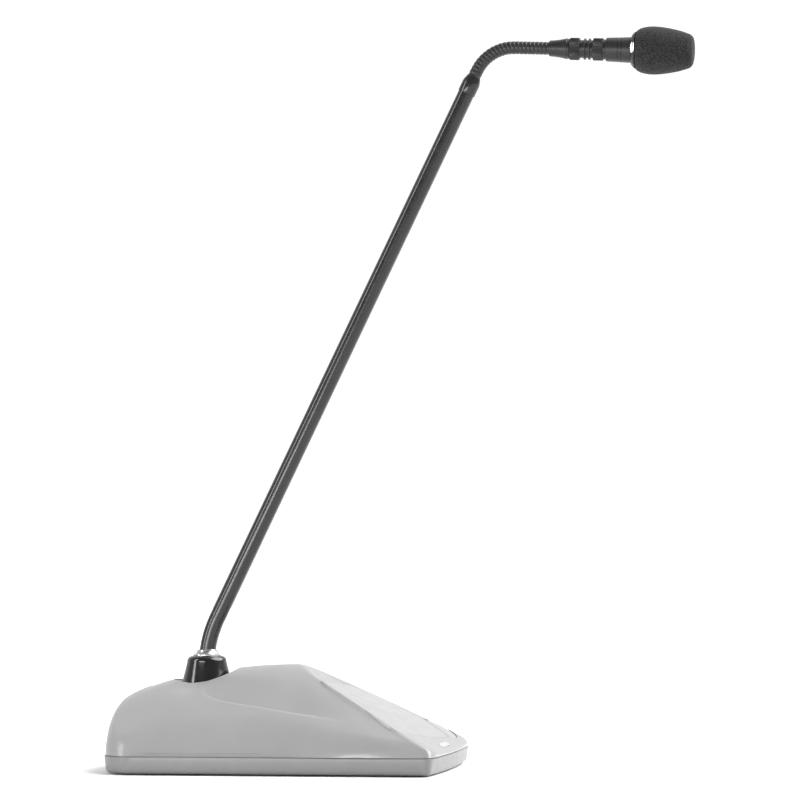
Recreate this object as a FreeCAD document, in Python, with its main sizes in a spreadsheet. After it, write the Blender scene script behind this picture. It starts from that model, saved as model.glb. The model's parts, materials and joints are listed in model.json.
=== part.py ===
import FreeCAD, Part
import math
import os

import Sketcher
from FreeCAD import Placement, Rotation, Vector

# A gooseneck podium microphone: a weighted desk base with a talk pad, and a plug-in microphone on a
# bent tube, a short flexible neck and a slim head with a foam windscreen.
# Frame: origin on the table under the plug's axis, +X forward (the way the head points), +Z up.

doc = FreeCAD.newDocument("podium_microphone")
sheet = doc.addObject("Spreadsheet::Sheet", "sizes")

# Driving sizes in millimetres and degrees.
SIZES = {
    # fits
    "running_gap": 0.05,
    "free_gap": 0.35,
    "seat_gap": 0.05,
    # desk base, seen from above and from the side
    "base_front": 126.5,
    "base_rear": 50.0,
    "base_half_width": 56.0,
    "front_bow": 2.5,
    "rear_bow": 5.0,
    "rear_corner_radius": 14.0,
    "front_corner_radius": 3.0,
    "nose_height": 10.8,
    "slope_angle": 28.2,
    "crest_x": 42.0,
    "crest_height": 52.2,
    "crest_end_x": 50.0,
    "shoulder_half": 17.0,
    "shoulder_drop": 3.0,
    "flank_half": 49.5,
    "flank_height": 21.5,
    "back_run": 18.5,
    "back_drop": 11.6,
    "back_bulge_run": 2.5,
    "back_bulge_drop": 27.7,
    "top_bulge_x": 5.0,
    "top_bulge_drop": 5.0,
    "foot_bulge_inset": 1.4,
    "foot_bulge_rise": 0.6,
    "crest_crown": 0.05,
    "shell_wall": 2.4,
    "seam_height": 8.8,
    "seam_gap": 0.4,
    "tray_wall": 3.4,
    "tray_floor": 2.2,
    "tray_bottom_radius": 2.0,
    "tongue_thickness": 0.9,
    "tongue_rise": 2.0,
    "tongue_root": 1.5,
    "foot_height": 0.8,
    "pad_recess": 0.6,
    "grip_half_width": 36.0,
    "grip_front": 104.0,
    "grip_rear": 40.0,
    "grip_corner_radius": 8.0,
    # ballast and board
    "ballast_thickness": 4.0,
    "ballast_front": 102.0,
    "ballast_rear": 25.0,
    "ballast_half_width": 37.0,
    "board_height": 13.0,
    "board_thickness": 1.6,
    "board_rear": 17.0,
    "board_front": 104.0,
    "board_half_width": 30.0,
    "post_diameter": 6.5,
    "post_rear_x": 37.0,
    "post_front_x": 97.0,
    "post_y": 25.0,
    "board_screw_diameter": 2.5,
    "board_screw_head": 1.6,
    "board_screw_length": 6.5,
    "post_hole_depth": 6.0,
    "tray_screw_diameter": 3.0,
    "tray_screw_head": 6.0,
    "tray_screw_length": 12.0,
    "tray_screw_sink": 1.6,
    "screw_clearance": 0.2,
    "tray_screw_rear_x": 33.0,
    "tray_screw_front_x": 88.0,
    "tray_screw_y": 43.0,
    "boss_diameter": 8.0,
    "boss_height": 11.2,
    # talk pad, seen from above
    "pad_top_near_x": 61.5,
    "pad_top_near_y": 19.6,
    "pad_top_far_x": 79.5,
    "pad_top_far_y": 30.5,
    "pad_near_x": 103.8,
    "pad_near_y": 46.8,
    "pad_tip_x": 118.2,
    "pad_tip_y": 26.0,
    "pad_far_x": 102.6,
    "pad_far_y": 38.5,
    "pad_seam_bow": 4.5,
    "pad_thickness": 2.2,
    "pad_clearance": 1.5,
    "pad_pin_x": 68.0,
    "pad_pin_depth": 5.2,
    "pad_pin_diameter": 2.0,
    "pad_pin_length": 24.0,
    "lug_width": 4.0,
    "lug_spacing": 16.0,
    "lug_wall": 1.2,
    "lug_reach": 8.0,
    "lug_front_reach": 3.0,
    "pad_rib_setback": 2.0,
    "pad_foot_root": 1.0,
    # crescent window, seen from above
    "window_gap": 0.6,
    "window_nose_x": 119.4,
    "window_nose_y": 44.0,
    "window_side_x": 113.5,
    "window_side_y": 51.6,
    "window_rear_x": 105.0,
    "window_rear_y": 46.0,
    "window_thickness": 1.8,
    "badge_length": 19.0,
    "badge_depth": 2.9,
    "badge_thickness": 0.8,
    "badge_proud": 0.3,
    "badge_x": 122.3,
    "badge_y": 9.0,
    # talk switch
    "switch_x": 92.0,
    "switch_side": 6.0,
    "switch_height": 3.4,
    "plunger_diameter": 3.2,
    "plunger_height": 1.6,
    "spring_x": 84.0,
    "spring_y": 14.0,
    "spring_width": 5.0,
    "spring_strip": 0.4,
    "spring_height": 9.0,
    "spring_reach": 4.0,
    "plunger_gap": 0.3,
    "plunger_stroke": 0.9,
    "pad_foot_diameter": 5.0,
    "pad_lug_length": 18.0,
    "led_side": 2.0,
    "led_x": 99.0,
    "led_y": 18.0,
    # microphone socket and plug
    "recess_floor": 41.0,
    "recess_radius": 14.6,
    "recess_mouth_radius": 17.6,
    "recess_mouth_height": 51.0,
    "plug_diameter": 18.7,
    "plug_bore": 16.1,
    "plug_depth": 13.0,
    "socket_wall": 2.0,
    "socket_depth": 14.0,
    "socket_floor": 3.0,
    "socket_flange_radius": 15.5,
    "socket_flange_thickness": 2.4,
    "pin_diameter": 2.4,
    "pin_circle": 7.6,
    "pin_length": 11.0,
    "contact_diameter": 3.6,
    "contact_tail": 1.0,
    "contact_floor": 2.0,
    # output connector in the rear wall
    "output_height": 22.4,
    "output_panel_x": 37.5,
    "output_panel_half": 17.0,
    "panel_sill": 1.2,
    "output_flange_side": 23.4,
    "output_flange_thickness": 1.6,
    "output_diameter": 20.0,
    "output_bore": 16.4,
    "output_cavity": 14.0,
    "output_insert_thickness": 4.0,
    "output_pin_recess": 4.8,
    "output_screw_offset": 9.1,
    "output_screw_diameter": 2.4,
    "output_screw_head": 1.2,
    "output_screw_length": 5.0,
    "output_flange_round": 3.0,
    "lead_diameter": 2.2,
    "lead_bend": 2.6,
    # boot, collar and tube
    "boot_foot_radius": 12.9,
    "boot_shoulder_radius": 9.9,
    "boot_top_radius": 7.4,
    "boot_shoulder_height": 53.6,
    "boot_top_height": 56.4,
    "collar_height": 3.0,
    "collar_foot_radius": 6.9,
    "collar_top_radius": 5.1,
    "tube_diameter": 8.2,
    "tube_wall": 0.9,
    "tube_corner_height": 64.2,
    "tube_bend_radius": 52.0,
    "tube_tilt": 26.2,
    "tube_reach": 312.2,
    "anchor_height": 2.8,
    "ferrule_length": 9.0,
    "ferrule_wall": 0.25,
    # flexible neck
    "neck_diameter": 6.45,
    "neck_valley": 5.4,
    "neck_bend_radius": 20.1,
    "neck_straight": 17.6,
    "neck_link": 4.0,
    "neck_first_joint": 3.2,
    "neck_joint_gap": 0.9,
    "neck_ball": 3.6,
    "neck_bore": 1.6,
    "head_droop": 3.3,
    # head, along its own axis
    "tail_length": 9.0,
    "tail_start_diameter": 7.9,
    "tail_end_diameter": 10.5,
    "core_diameter": 8.9,
    "union_start": 10.3,
    "union_length": 4.8,
    "union_diameter": 11.0,
    "disc_start": 17.35,
    "disc_pitch": 2.3,
    "disc_thickness": 0.8,
    "disc_diameter": 10.6,
    "front_ring_start": 21.9,
    "front_ring_length": 5.0,
    "front_ring_diameter": 11.1,
    "barrel_start": 28.4,
    "barrel_length": 12.6,
    "barrel_start_diameter": 11.7,
    "barrel_end_diameter": 12.5,
    "barrel_groove": 0.5,
    "neck_down_diameter": 9.9,
    "collar_length": 2.0,
    "collar_start_diameter": 14.9,
    "collar_end_diameter": 18.3,
    "grille_diameter": 12.6,
    "grille_length": 20.0,
    "grille_wall": 0.6,
    "capsule_diameter": 10.0,
    "capsule_length": 6.5,
    "mark_width": 6.2,
    "mark_length": 1.9,
    "foam_length": 28.8,
    "foam_rear_diameter": 19.8,
    "foam_wide_diameter": 23.7,
    "foam_wide_at": 8.0,
    "foam_front_diameter": 15.4,
    "foam_tip_diameter": 12.0,
    "boot_lift": 0.35,
    "boot_cavity_height": 49.5,
    "boot_shoulder_round": 3.6,
    "plug_insert_thickness": 3.0,
    "collar_lip": 0.4,
    "collar_flare": 4.0,
    "ferrule_cap": 3.0,
    "ferrule_taper_start": 6.2,
    "neck_root_depth": 4.0,
    "neck_rib": 0.7,
    "neck_tip_length": 8.8,
    "core_wall": 1.2,
    "tail_socket": 4.2,
    "tail_curve": 60.0,
    "ring_chamfer": 0.4,
    "barrel_wall": 0.8,
    "barrel_step": 1.0,
    "barrel_swell": 0.2,
    "tail_shoulder": 1.0,
    "capsule_seat": 3.0,
    "groove_offset": 5.9,
    "groove_pitch": 1.8,
    "grille_round": 4.0,
    "capsule_gap": 2.3,
    "mark_depth": 0.5,
    "mark_proud": 0.15,
    "preamp_width": 8.0,
    "preamp_thickness": 1.2,
    "preamp_length": 10.0,
    "preamp_start": 1.3,
    "foam_rear_curve": 24.0,
    "foam_front_curve": 70.0,
    "foam_nose_depth": 1.8,
    "foam_nose_curve": 2.6,
    "lead_rise": 5.0,
    "lead_offset": 6.5,
    "lead_inset": 4.0,
}

for row, (alias, number) in enumerate(SIZES.items(), start=1):
    sheet.set(f"A{row}", alias.replace("_", " "))
    sheet.set(f"B{row}", str(number))
    sheet.setAlias(f"B{row}", alias)
doc.recompute()


class Size:
    """A size with its number and the sheet formula that gives that number."""

    def __init__(self, number, formula):
        self.number = number
        self.formula = formula

    def joined(self, other, sign, number):
        right = other.formula if isinstance(other, Size) else repr(other)
        return Size(number, f"({self.formula} {sign} {right})")

    def __add__(self, other):
        return self.joined(other, "+", self.number + plain(other))

    def __sub__(self, other):
        return self.joined(other, "-", self.number - plain(other))

    def __mul__(self, other):
        return self.joined(other, "*", self.number * plain(other))

    def __truediv__(self, other):
        return self.joined(other, "/", self.number / plain(other))

    def __neg__(self):
        return Size(-self.number, f"(0 - {self.formula})")

    def leg(self, other):
        """The other leg of a right triangle whose long side is this size."""
        number = math.sqrt(self.number ** 2 - plain(other) ** 2)
        return Size(number, f"sqrt({self.formula} ^ 2 - {other.formula} ^ 2)")


def plain(size):
    """The number of a Size, or the number itself."""
    return size.number if isinstance(size, Size) else float(size)


def size(alias):
    """A cell of the sheet as a Size."""
    return Size(float(sheet.get(alias)), f"sizes.{alias}")


def val(alias):
    """A cell of the sheet as a number."""
    return float(sheet.get(alias))


ZERO = Size(0.0, "0")
NODES = []


def keep(obj, label, placement=None):
    """List an object as one sub-part, named by its label."""
    obj.Label = label
    if placement is not None:
        obj.Placement = placement
    NODES.append(obj)
    return obj


# ---------------------------------------------------------------- sketches and bodies

def origin_plane(body, role):
    return next(item for item in body.Origin.OriginFeatures if item.Role == role)


def arc_centre(start, end, radius):
    """Centre of an arc from start to end; a positive radius puts it left of the way there."""
    chord = end - start
    half = chord.Length / 2
    reach = math.sqrt(max(radius * radius - half * half, 0.0))
    left = Vector(-chord.y, chord.x, 0).normalize()
    return (start + end) * 0.5 + left * (reach if radius > 0 else -reach)


def outline(body, name, role, corners):
    """Closed sketch on one of the body's own planes. Each corner is (across, up) or
    (across, up, radius of the arc that arrives there)."""
    sketch = body.newObject("Sketcher::SketchObject", name)
    sketch.AttachmentSupport = [(origin_plane(body, role), "")]
    sketch.MapMode = "FlatFace"
    points = [Vector(plain(item[0]), plain(item[1]), 0) for item in corners]
    ends = []
    for index, item in enumerate(corners):
        start, end = points[index - 1], points[index]
        if len(item) == 2:
            edge = sketch.addGeometry(Part.LineSegment(start, end), False)
            ends.append((edge, 1, 2))
            continue
        radius = plain(item[2])
        centre = arc_centre(start, end, radius)
        circle = Part.Circle(centre, Vector(0, 0, 1), abs(radius))
        first, last = (start, end) if radius > 0 else (end, start)
        turn = [math.atan2(spot.y - centre.y, spot.x - centre.x) for spot in (first, last)]
        edge = sketch.addGeometry(Part.ArcOfCircle(circle, turn[0], turn[1]), False)
        ends.append((edge, 1, 2) if radius > 0 else (edge, 2, 1))
    for index, item in enumerate(corners):
        edge, _, tail = ends[index]
        following, head, _ = ends[(index + 1) % len(ends)]
        sketch.addConstraint(Sketcher.Constraint("Coincident", edge, tail, following, head))
        for kind, axis, coordinate in (("DistanceX", -2, item[0]), ("DistanceY", -1, item[1])):
            if plain(coordinate) == 0.0:
                sketch.addConstraint(Sketcher.Constraint("PointOnObject", edge, tail, axis))
                continue
            place = Sketcher.Constraint(kind, -1, 1, edge, tail, plain(coordinate))
            number = sketch.addConstraint(place)
            if isinstance(coordinate, Size):
                sketch.setExpression(f"Constraints[{number}]", coordinate.formula)
        if len(item) == 3:
            number = sketch.addConstraint(Sketcher.Constraint("Radius", edge, abs(plain(item[2]))))
            if isinstance(item[2], Size):
                formula = item[2].formula if plain(item[2]) > 0 else (-item[2]).formula
                sketch.setExpression(f"Constraints[{number}]", formula)
    return sketch


def turned(label, corners):
    """Body turned about its own Z axis from corners (radius, height)."""
    body = doc.addObject("PartDesign::Body", label)
    sketch = outline(body, label + "_section", "XZ_Plane", corners)
    turn = body.newObject("PartDesign::Revolution", label + "_turned")
    turn.Profile = sketch
    turn.ReferenceAxis = (sketch, ["V_Axis"])
    turn.Angle = 360
    body.Tip = turn
    return body


def revolved(label, corners, placement=None):
    """Sub-part that is one turned body."""
    return keep(turned(label, corners), label, placement)


def tube_section(inner, outer, low, high):
    """Corners of a plain ring's section."""
    return [(inner, low), (outer, low), (outer, high), (inner, high)]


def bound(obj, **sizes):
    """Bind properties of a Part primitive to the sheet."""
    for name, amount in sizes.items():
        setattr(obj, name, plain(amount))
        if isinstance(amount, Size):
            obj.setExpression(name, amount.formula)
    return obj


def cylinder(name, radius, height, place):
    rod = bound(doc.addObject("Part::Cylinder", name), Radius=radius, Height=height)
    rod.Placement = place
    return rod


def shaped(label, shape):
    """A sub-part whose form needs Part's own functions; its place is in its shape."""
    feature = doc.addObject("Part::Feature", label)
    feature.Shape = shape.removeSplitter()
    feature.Placement = Placement()
    return keep(feature, label)


def at(x, y, z):
    return Placement(Vector(x, y, z), Rotation())


def rod_shape(radius, low, high, x=0.0, y=0.0):
    """Upright solid cylinder between two heights."""
    return Part.makeCylinder(radius, high - low, Vector(x, y, low))


def box_shape(low, high):
    corner = Vector(*low)
    return Part.makeBox(high[0] - low[0], high[1] - low[1], high[2] - low[2], corner)


# ---------------------------------------------------------------- casing of the desk base

SLOPE = math.radians(val("slope_angle"))
SLOPE_NORMAL = Vector(math.sin(SLOPE), 0, math.cos(SLOPE))
SHELL_BOTTOM = val("seam_height") + val("seam_gap")
TRAY_BOTTOM = val("foot_height")
FLOOR_TOP = TRAY_BOTTOM + val("tray_floor")
# How far a blank or a cutting solid runs past the faces it has to clear.
BEYOND = 5.0
DEEP = 30.0


def slope_height(x):
    """Height of the front slope above the table."""
    return val("nose_height") + (val("base_front") - x) * math.tan(SLOPE)


def on_slope(x, y, below=0.0):
    """Point over (x, y) on the front slope, or a depth below it along its normal."""
    return Vector(x, y, slope_height(x)) - SLOPE_NORMAL * below


def closed_face(edges):
    return Part.Face(Part.Wire(Part.__sortEdges__(edges)))


def line(start, end):
    return Part.LineSegment(start, end).toShape()


def arc(start, middle, end):
    return Part.Arc(start, middle, end).toShape()


def inner_face(face, inset):
    return face if inset == 0 else face.makeOffset2D(-inset)


def plan_face(inset):
    """The base seen from above: bowed front and rear edges between straight sides."""
    half = val("base_half_width")
    front = val("base_front") - val("front_bow")
    rear = -val("base_rear") + val("rear_bow")
    nose = Vector(val("base_front"), 0, 0)
    tail = Vector(-val("base_rear"), 0, 0)
    corners = [Vector(x, y, 0) for x, y in ((rear, -half), (front, -half), (front, half), (rear, half))]
    edges = [line(corners[0], corners[1]), arc(corners[1], nose, corners[2])]
    edges += [line(corners[2], corners[3]), arc(corners[3], tail, corners[0])]
    return inner_face(closed_face(edges), inset)


def upright_edges(shape):
    return [edge for edge in shape.Edges if abs(edge.tangentAt(edge.FirstParameter).z) > 0.99]


def plan_prism(inset, low, high):
    """The plan pushed up between two heights, with its upright corners rounded."""
    prism = plan_face(inset).extrude(Vector(0, 0, high - low))
    prism.translate(Vector(0, 0, low))
    rear = [edge for edge in upright_edges(prism) if edge.CenterOfMass.x < 0]
    rounded = prism.makeFillet(max(val("rear_corner_radius") - inset, 1.0), rear)
    front = [edge for edge in upright_edges(rounded) if edge.CenterOfMass.x > val("crest_x")]
    return rounded.makeFillet(max(val("front_corner_radius") - inset, 0.4), front)


def side_face(inset):
    """The base seen from the side: rounded back, long crest and flat front slope."""
    rear = -val("base_rear")
    crest = Vector(val("crest_x"), 0, val("crest_height"))
    back = Vector(rear + val("back_run"), 0, val("crest_height") - val("back_drop"))
    back_bulge = Vector(rear + val("back_bulge_run"), 0, val("crest_height") - val("back_bulge_drop"))
    top_bulge = Vector(-val("top_bulge_x"), 0, val("crest_height") - val("top_bulge_drop"))
    slope_top = Vector(val("crest_end_x"), 0, slope_height(val("crest_end_x")))
    nose = Vector(val("base_front"), 0, val("nose_height"))
    heel = Vector(rear, 0, SHELL_BOTTOM)
    low_heel = Vector(rear, 0, SHELL_BOTTOM - DEEP)
    low_nose = Vector(val("base_front"), 0, SHELL_BOTTOM - DEEP)
    edges = [line(low_heel, heel), arc(heel, back_bulge, back), arc(back, top_bulge, crest)]
    edges += [line(crest, slope_top), line(slope_top, nose), line(nose, low_nose)]
    edges += [line(low_nose, low_heel)]
    return inner_face(closed_face(edges), inset)


def section_face(inset):
    """The base seen from the front: steep foot, sloping flanks and a narrow crest."""
    half = val("base_half_width")
    crest = val("crest_height")
    foot_bulge = (half - val("foot_bulge_inset"),
                  (SHELL_BOTTOM + val("flank_height")) / 2 + val("foot_bulge_rise"))
    shoulder = (val("shoulder_half"), crest - val("shoulder_drop"))
    edges = []
    for side in (-1, 1):
        low = Vector(0, side * half, SHELL_BOTTOM - DEEP)
        foot = Vector(0, side * half, SHELL_BOTTOM)
        bulge = Vector(0, side * foot_bulge[0], foot_bulge[1])
        flank = Vector(0, side * val("flank_half"), val("flank_height"))
        top = Vector(0, side * shoulder[0], shoulder[1])
        edges += [line(low, foot), arc(foot, bulge, flank), line(flank, top)]
    edges.append(arc(Vector(0, -shoulder[0], shoulder[1]), Vector(0, 0, crest + val("crest_crown")),
                     Vector(0, shoulder[0], shoulder[1])))
    edges.append(line(Vector(0, -half, SHELL_BOTTOM - DEEP), Vector(0, half, SHELL_BOTTOM - DEEP)))
    return inner_face(closed_face(edges), inset)


def hull(inset, low):
    """The space inside the casing's outside, or inside its wall when inset."""
    half = val("base_half_width") + BEYOND
    side = side_face(inset).extrude(Vector(0, 2 * half, 0))
    side.translate(Vector(0, -half, 0))
    reach = val("base_front") + val("base_rear") + 2 * BEYOND
    section = section_face(inset).extrude(Vector(reach, 0, 0))
    section.translate(Vector(-val("base_rear") - BEYOND, 0, 0))
    plan = plan_prism(inset, low, val("crest_height") + BEYOND)
    return side.common(section).common(plan)


def slope_slab(corners, top, bottom, grow=0.0):
    """A slab parallel to the slope between two depths, its corners seen from above. A corner
    with a third number is reached by an arc that bows outward by that much."""
    edges = []
    spots = [on_slope(item[0], item[1]) for item in corners]
    for index, item in enumerate(corners):
        start, end = spots[index - 1], spots[index]
        if len(item) == 2:
            edges.append(line(start, end))
            continue
        outward = (end - start).normalize().cross(SLOPE_NORMAL)
        edges.append(arc(start, (start + end) * 0.5 + outward * item[2], end))
    face = closed_face(edges)
    if grow:
        face = face.makeOffset2D(grow)
    face.translate(SLOPE_NORMAL * -top)
    return face.extrude(SLOPE_NORMAL * (top - bottom))


def plan_rectangle(low_x, high_x, low_y, high_y):
    return [(low_x, low_y), (high_x, low_y), (high_x, high_y), (low_x, high_y)]


PAD_CORNERS = [
    (val("pad_top_near_x"), -val("pad_top_near_y")),
    (val("pad_near_x"), -val("pad_near_y")),
    (val("pad_tip_x"), val("pad_tip_y"), val("pad_seam_bow")),
    (val("pad_far_x"), val("pad_far_y")),
    (val("pad_top_far_x"), val("pad_top_far_y")),
]
WINDOW_CORNERS = [
    (val("pad_far_x") + val("window_gap"), val("pad_far_y") + val("window_gap")),
    (val("pad_tip_x") + val("window_gap"), val("pad_tip_y") + val("window_gap")),
    (val("window_nose_x"), val("window_nose_y")),
    (val("window_side_x"), val("window_side_y")),
    (val("window_rear_x"), val("window_rear_y")),
]
PIN = on_slope(val("pad_pin_x"), 0.0, val("pad_pin_depth"))
LUG_BOTTOM = val("pad_pin_depth") + val("pad_pin_diameter") / 2 + val("lug_wall")
LUG_TOP = val("pad_pin_depth") - val("pad_pin_diameter") / 2 - val("lug_wall")
SHELL_LUG_FACE = val("lug_spacing") / 2
SCREW_SPOTS = [(-val("tray_screw_rear_x"), side * val("tray_screw_y")) for side in (-1, 1)]
SCREW_SPOTS += [(val("tray_screw_front_x"), side * val("tray_screw_y")) for side in (-1, 1)]
POST_SPOTS = [(x, side * val("post_y")) for x in (val("post_rear_x"), val("post_front_x"))
              for side in (-1, 1)]
SOCKET_RADIUS = val("plug_diameter") / 2 + val("running_gap") + val("socket_wall")
SOCKET_BOTTOM = val("recess_floor") - val("socket_depth") - val("socket_floor")
FLANGE_TOP = val("recess_floor") - val("shell_wall")
PANEL_X = -val("output_panel_x")


def tongue_shape(gap):
    """The tray's upstanding tongue, or its groove in the casing with a gap round it."""
    wall = val("tray_wall")
    seam = val("seam_height")
    top = seam + val("tongue_rise") + gap
    tongue = plan_prism(wall - val("tongue_thickness") - gap, seam - val("tongue_root"), top)
    return tongue.cut(plan_prism(wall + gap, FLOOR_TOP, top + BEYOND))


def badge_shape(gap, top):
    """Small plate on the lip of the slope, from its seat up to a depth (negative is proud)."""
    half_length = val("badge_length") / 2 + gap
    half_depth = val("badge_depth") / 2 + gap
    corners = plan_rectangle(val("badge_x") - half_depth, val("badge_x") + half_depth,
                             -val("badge_y") - half_length, -val("badge_y") + half_length)
    return slope_slab(corners, top, val("badge_thickness") - val("badge_proud"))


def shell_lug(side):
    """Lug under the roof that holds one end of the pad's pin."""
    inner, outer = side * SHELL_LUG_FACE, side * (SHELL_LUG_FACE + val("lug_width"))
    corners = plan_rectangle(val("pad_pin_x") - val("lug_reach"), val("pad_pin_x") + val("lug_front_reach"),
                             min(inner, outer), max(inner, outer))
    return slope_slab(corners, val("shell_wall") / 2, LUG_BOTTOM)


def upper_shell():
    """Hollow upper casing with the plug recess, the pad and window openings and the rear panel."""
    outside = hull(0.0, SHELL_BOTTOM)
    inside = hull(val("shell_wall"), SHELL_BOTTOM - DEEP)
    floor = val("recess_floor")
    crest = val("crest_height")
    panel_half = val("output_panel_half")
    wall = val("shell_wall")
    solid = [rod_shape(val("recess_mouth_radius") + wall, floor - wall, crest)]
    solid.append(box_shape((-val("base_rear"), -panel_half - wall, SHELL_BOTTOM),
                           (PANEL_X + wall, panel_half + wall, crest)))
    for x, y in SCREW_SPOTS:
        solid.append(rod_shape(val("boss_diameter") / 2, val("boss_height"), crest, x, y))
    solid += [shell_lug(side) for side in (-1, 1)]
    shell = outside.cut(inside).fuse([piece.common(outside) for piece in solid])
    cuts = [Part.makeCone(val("recess_radius"), val("recess_mouth_radius"),
                          val("recess_mouth_height") - floor, Vector(0, 0, floor))]
    cuts.append(rod_shape(SOCKET_RADIUS + val("seat_gap"), SOCKET_BOTTOM, floor))
    panel_top = val("output_height") + val("output_flange_side") / 2 + val("free_gap")
    cuts.append(box_shape((-val("base_rear") - BEYOND, -panel_half, SHELL_BOTTOM + val("panel_sill")),
                          (PANEL_X, panel_half, panel_top)))
    cuts.append(Part.makeCylinder(val("output_diameter") / 2 + val("seat_gap"), wall + 2 * BEYOND,
                                  Vector(PANEL_X - BEYOND, 0, val("output_height")), Vector(1, 0, 0)))
    for way in (-1, 1):
        spot = Vector(PANEL_X - BEYOND, -way * val("output_screw_offset"),
                      val("output_height") + way * val("output_screw_offset"))
        cuts.append(Part.makeCylinder(val("output_screw_diameter") / 2 + val("seat_gap"),
                                      wall + 2 * BEYOND, spot, Vector(1, 0, 0)))
    cuts.append(tongue_shape(val("seat_gap")))
    cuts.append(slope_slab(PAD_CORNERS, -BEYOND, wall + val("pad_clearance"), val("free_gap")))
    cuts.append(slope_slab(WINDOW_CORNERS, -BEYOND, wall + val("pad_clearance"), val("seat_gap")))
    cuts.append(badge_shape(val("seat_gap"), -BEYOND))
    screw_top = FLOOR_TOP + val("tray_screw_length")
    for x, y in SCREW_SPOTS:
        cuts.append(rod_shape(val("tray_screw_diameter") / 2 + val("seat_gap"), 0, screw_top, x, y))
    cuts.append(pin_shape(val("seat_gap")))
    return shell.cut(cuts)


def pin_shape(gap):
    """The pad's hinge pin, or its hole with a gap round it."""
    half = val("pad_pin_length") / 2
    start = Vector(PIN.x, -half, PIN.z)
    return Part.makeCylinder(val("pad_pin_diameter") / 2 + gap, 2 * half, start, Vector(0, 1, 0))


def bottom_tray():
    """Shallow tray with drafted walls, an inner tongue, screw bosses and board posts."""
    block = plan_prism(0.0, TRAY_BOTTOM, val("seam_height"))
    foot = [edge for edge in block.Edges if edge.CenterOfMass.z < TRAY_BOTTOM + 1e-6]
    tray = block.makeFillet(val("tray_bottom_radius"), foot)
    wall = val("tray_wall")
    tray = tray.cut(plan_prism(wall, FLOOR_TOP, val("seam_height") + BEYOND))
    tray = tray.fuse(tongue_shape(0.0))
    root = FLOOR_TOP - val("tray_floor") / 4
    for x, y in SCREW_SPOTS:
        top = val("boss_height") - val("seam_gap") / 2
        tray = tray.fuse(rod_shape(val("boss_diameter") / 2, root, top, x, y))
    for x, y in POST_SPOTS:
        tray = tray.fuse(rod_shape(val("post_diameter") / 2, root, val("board_height"), x, y))
    cuts = []
    clearance = val("screw_clearance")
    for x, y in SCREW_SPOTS:
        cuts.append(rod_shape(val("tray_screw_diameter") / 2 + clearance, 0, DEEP, x, y))
        cuts.append(rod_shape(val("tray_screw_head") / 2 + clearance, 0,
                              TRAY_BOTTOM + val("tray_screw_sink"), x, y))
    for x, y in POST_SPOTS:
        cuts.append(rod_shape(val("board_screw_diameter") / 2 + val("seat_gap"),
                              val("board_height") - val("post_hole_depth"), DEEP, x, y))
    half = val("grip_half_width") + clearance
    cuts.append(box_shape((-val("grip_rear") - clearance, -half, 0),
                          (val("grip_front") + clearance, half, TRAY_BOTTOM + val("pad_recess"))))
    return tray.cut(cuts)


def grip_pad():
    """Rubber sheet let into the tray's underside, which the base stands on."""
    half = val("grip_half_width")
    rubber = box_shape((-val("grip_rear"), -half, 0),
                       (val("grip_front"), half, TRAY_BOTTOM + val("pad_recess")))
    return rubber.makeFillet(val("grip_corner_radius"), upright_edges(rubber))


def talk_pad():
    """Pressing plate on the slope with its hinge lug and the feet over the switch and spring."""
    plate = slope_slab(PAD_CORNERS, 0.0, val("pad_thickness"))
    half = SHELL_LUG_FACE - val("free_gap")
    low_x = val("pad_pin_x") - val("pad_pin_diameter") / 2 - val("lug_wall")
    lug = slope_slab(plan_rectangle(low_x, low_x + val("pad_lug_length"), -half, half),
                     LUG_TOP, LUG_BOTTOM)
    rib_x = val("pad_top_far_x") - val("pad_rib_setback")
    rib = slope_slab(plan_rectangle(rib_x, low_x + val("pad_lug_length"), -half, half),
                     val("pad_thickness") / 2, LUG_BOTTOM)
    pad = plate.fuse([lug, rib])
    under = slope_slab(PAD_CORNERS, val("pad_thickness") / 2, 2 * DEEP)
    radius = val("pad_foot_diameter") / 2
    for x, y, low in ((val("switch_x"), 0.0, PLUNGER_TOP + val("plunger_gap")),
                      (val("spring_x"), val("spring_y"), SPRING_TOP)):
        foot = rod_shape(radius, low, slope_height(x) - val("pad_foot_root"), x, y)
        pad = pad.fuse(foot.common(under))
    return pad.cut(pin_shape(val("running_gap")))


def status_window():
    """Crescent window beside the pad's tip."""
    return slope_slab(WINDOW_CORNERS, 0.0, val("window_thickness"))


BOARD_TOP = val("board_height") + val("board_thickness")
SWITCH_TOP = BOARD_TOP + val("switch_height")
PLUNGER_TOP = SWITCH_TOP + val("plunger_height")
SPRING_TOP = BOARD_TOP + val("spring_height")


def leaf_spring():
    """Bent strip between the board and the pad: a foot, a rising blade and a lip."""
    strip = val("spring_strip")
    x, reach = val("spring_x"), val("spring_reach")
    top = SPRING_TOP - strip
    spots = [(x - reach, BOARD_TOP), (x + reach, BOARD_TOP), (x + reach, BOARD_TOP + strip),
             (x - reach + strip, BOARD_TOP + strip), (x + reach - strip, top), (x + reach, top),
             (x + reach, top + strip), (x - 1.0, top + strip), (x - 1.0, top),
             (x + reach - 3 * strip, top), (x - reach, BOARD_TOP + strip)]
    corners = [Vector(spot[0], val("spring_y") - val("spring_width") / 2, spot[1]) for spot in spots]
    face = Part.Face(Part.makePolygon(corners + corners[:1]))
    return face.extrude(Vector(0, val("spring_width"), 0))


shaped("upper_shell", upper_shell())
shaped("bottom_tray", bottom_tray())
shaped("grip_pad", grip_pad())
shaped("talk_pad", talk_pad())
shaped("status_window", status_window())
shaped("blank_badge", badge_shape(0.0, -val("badge_proud")))
shaped("pad_spring", leaf_spring())

# ---------------------------------------------------------------- ballast, board and talk switch


def group(label, shapes):
    """Identical pieces kept together in one sub-part as separate solids."""
    feature = doc.addObject("Part::Feature", label)
    feature.Shape = Part.makeCompound(shapes)
    feature.Placement = Placement()
    return keep(feature, label)


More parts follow.
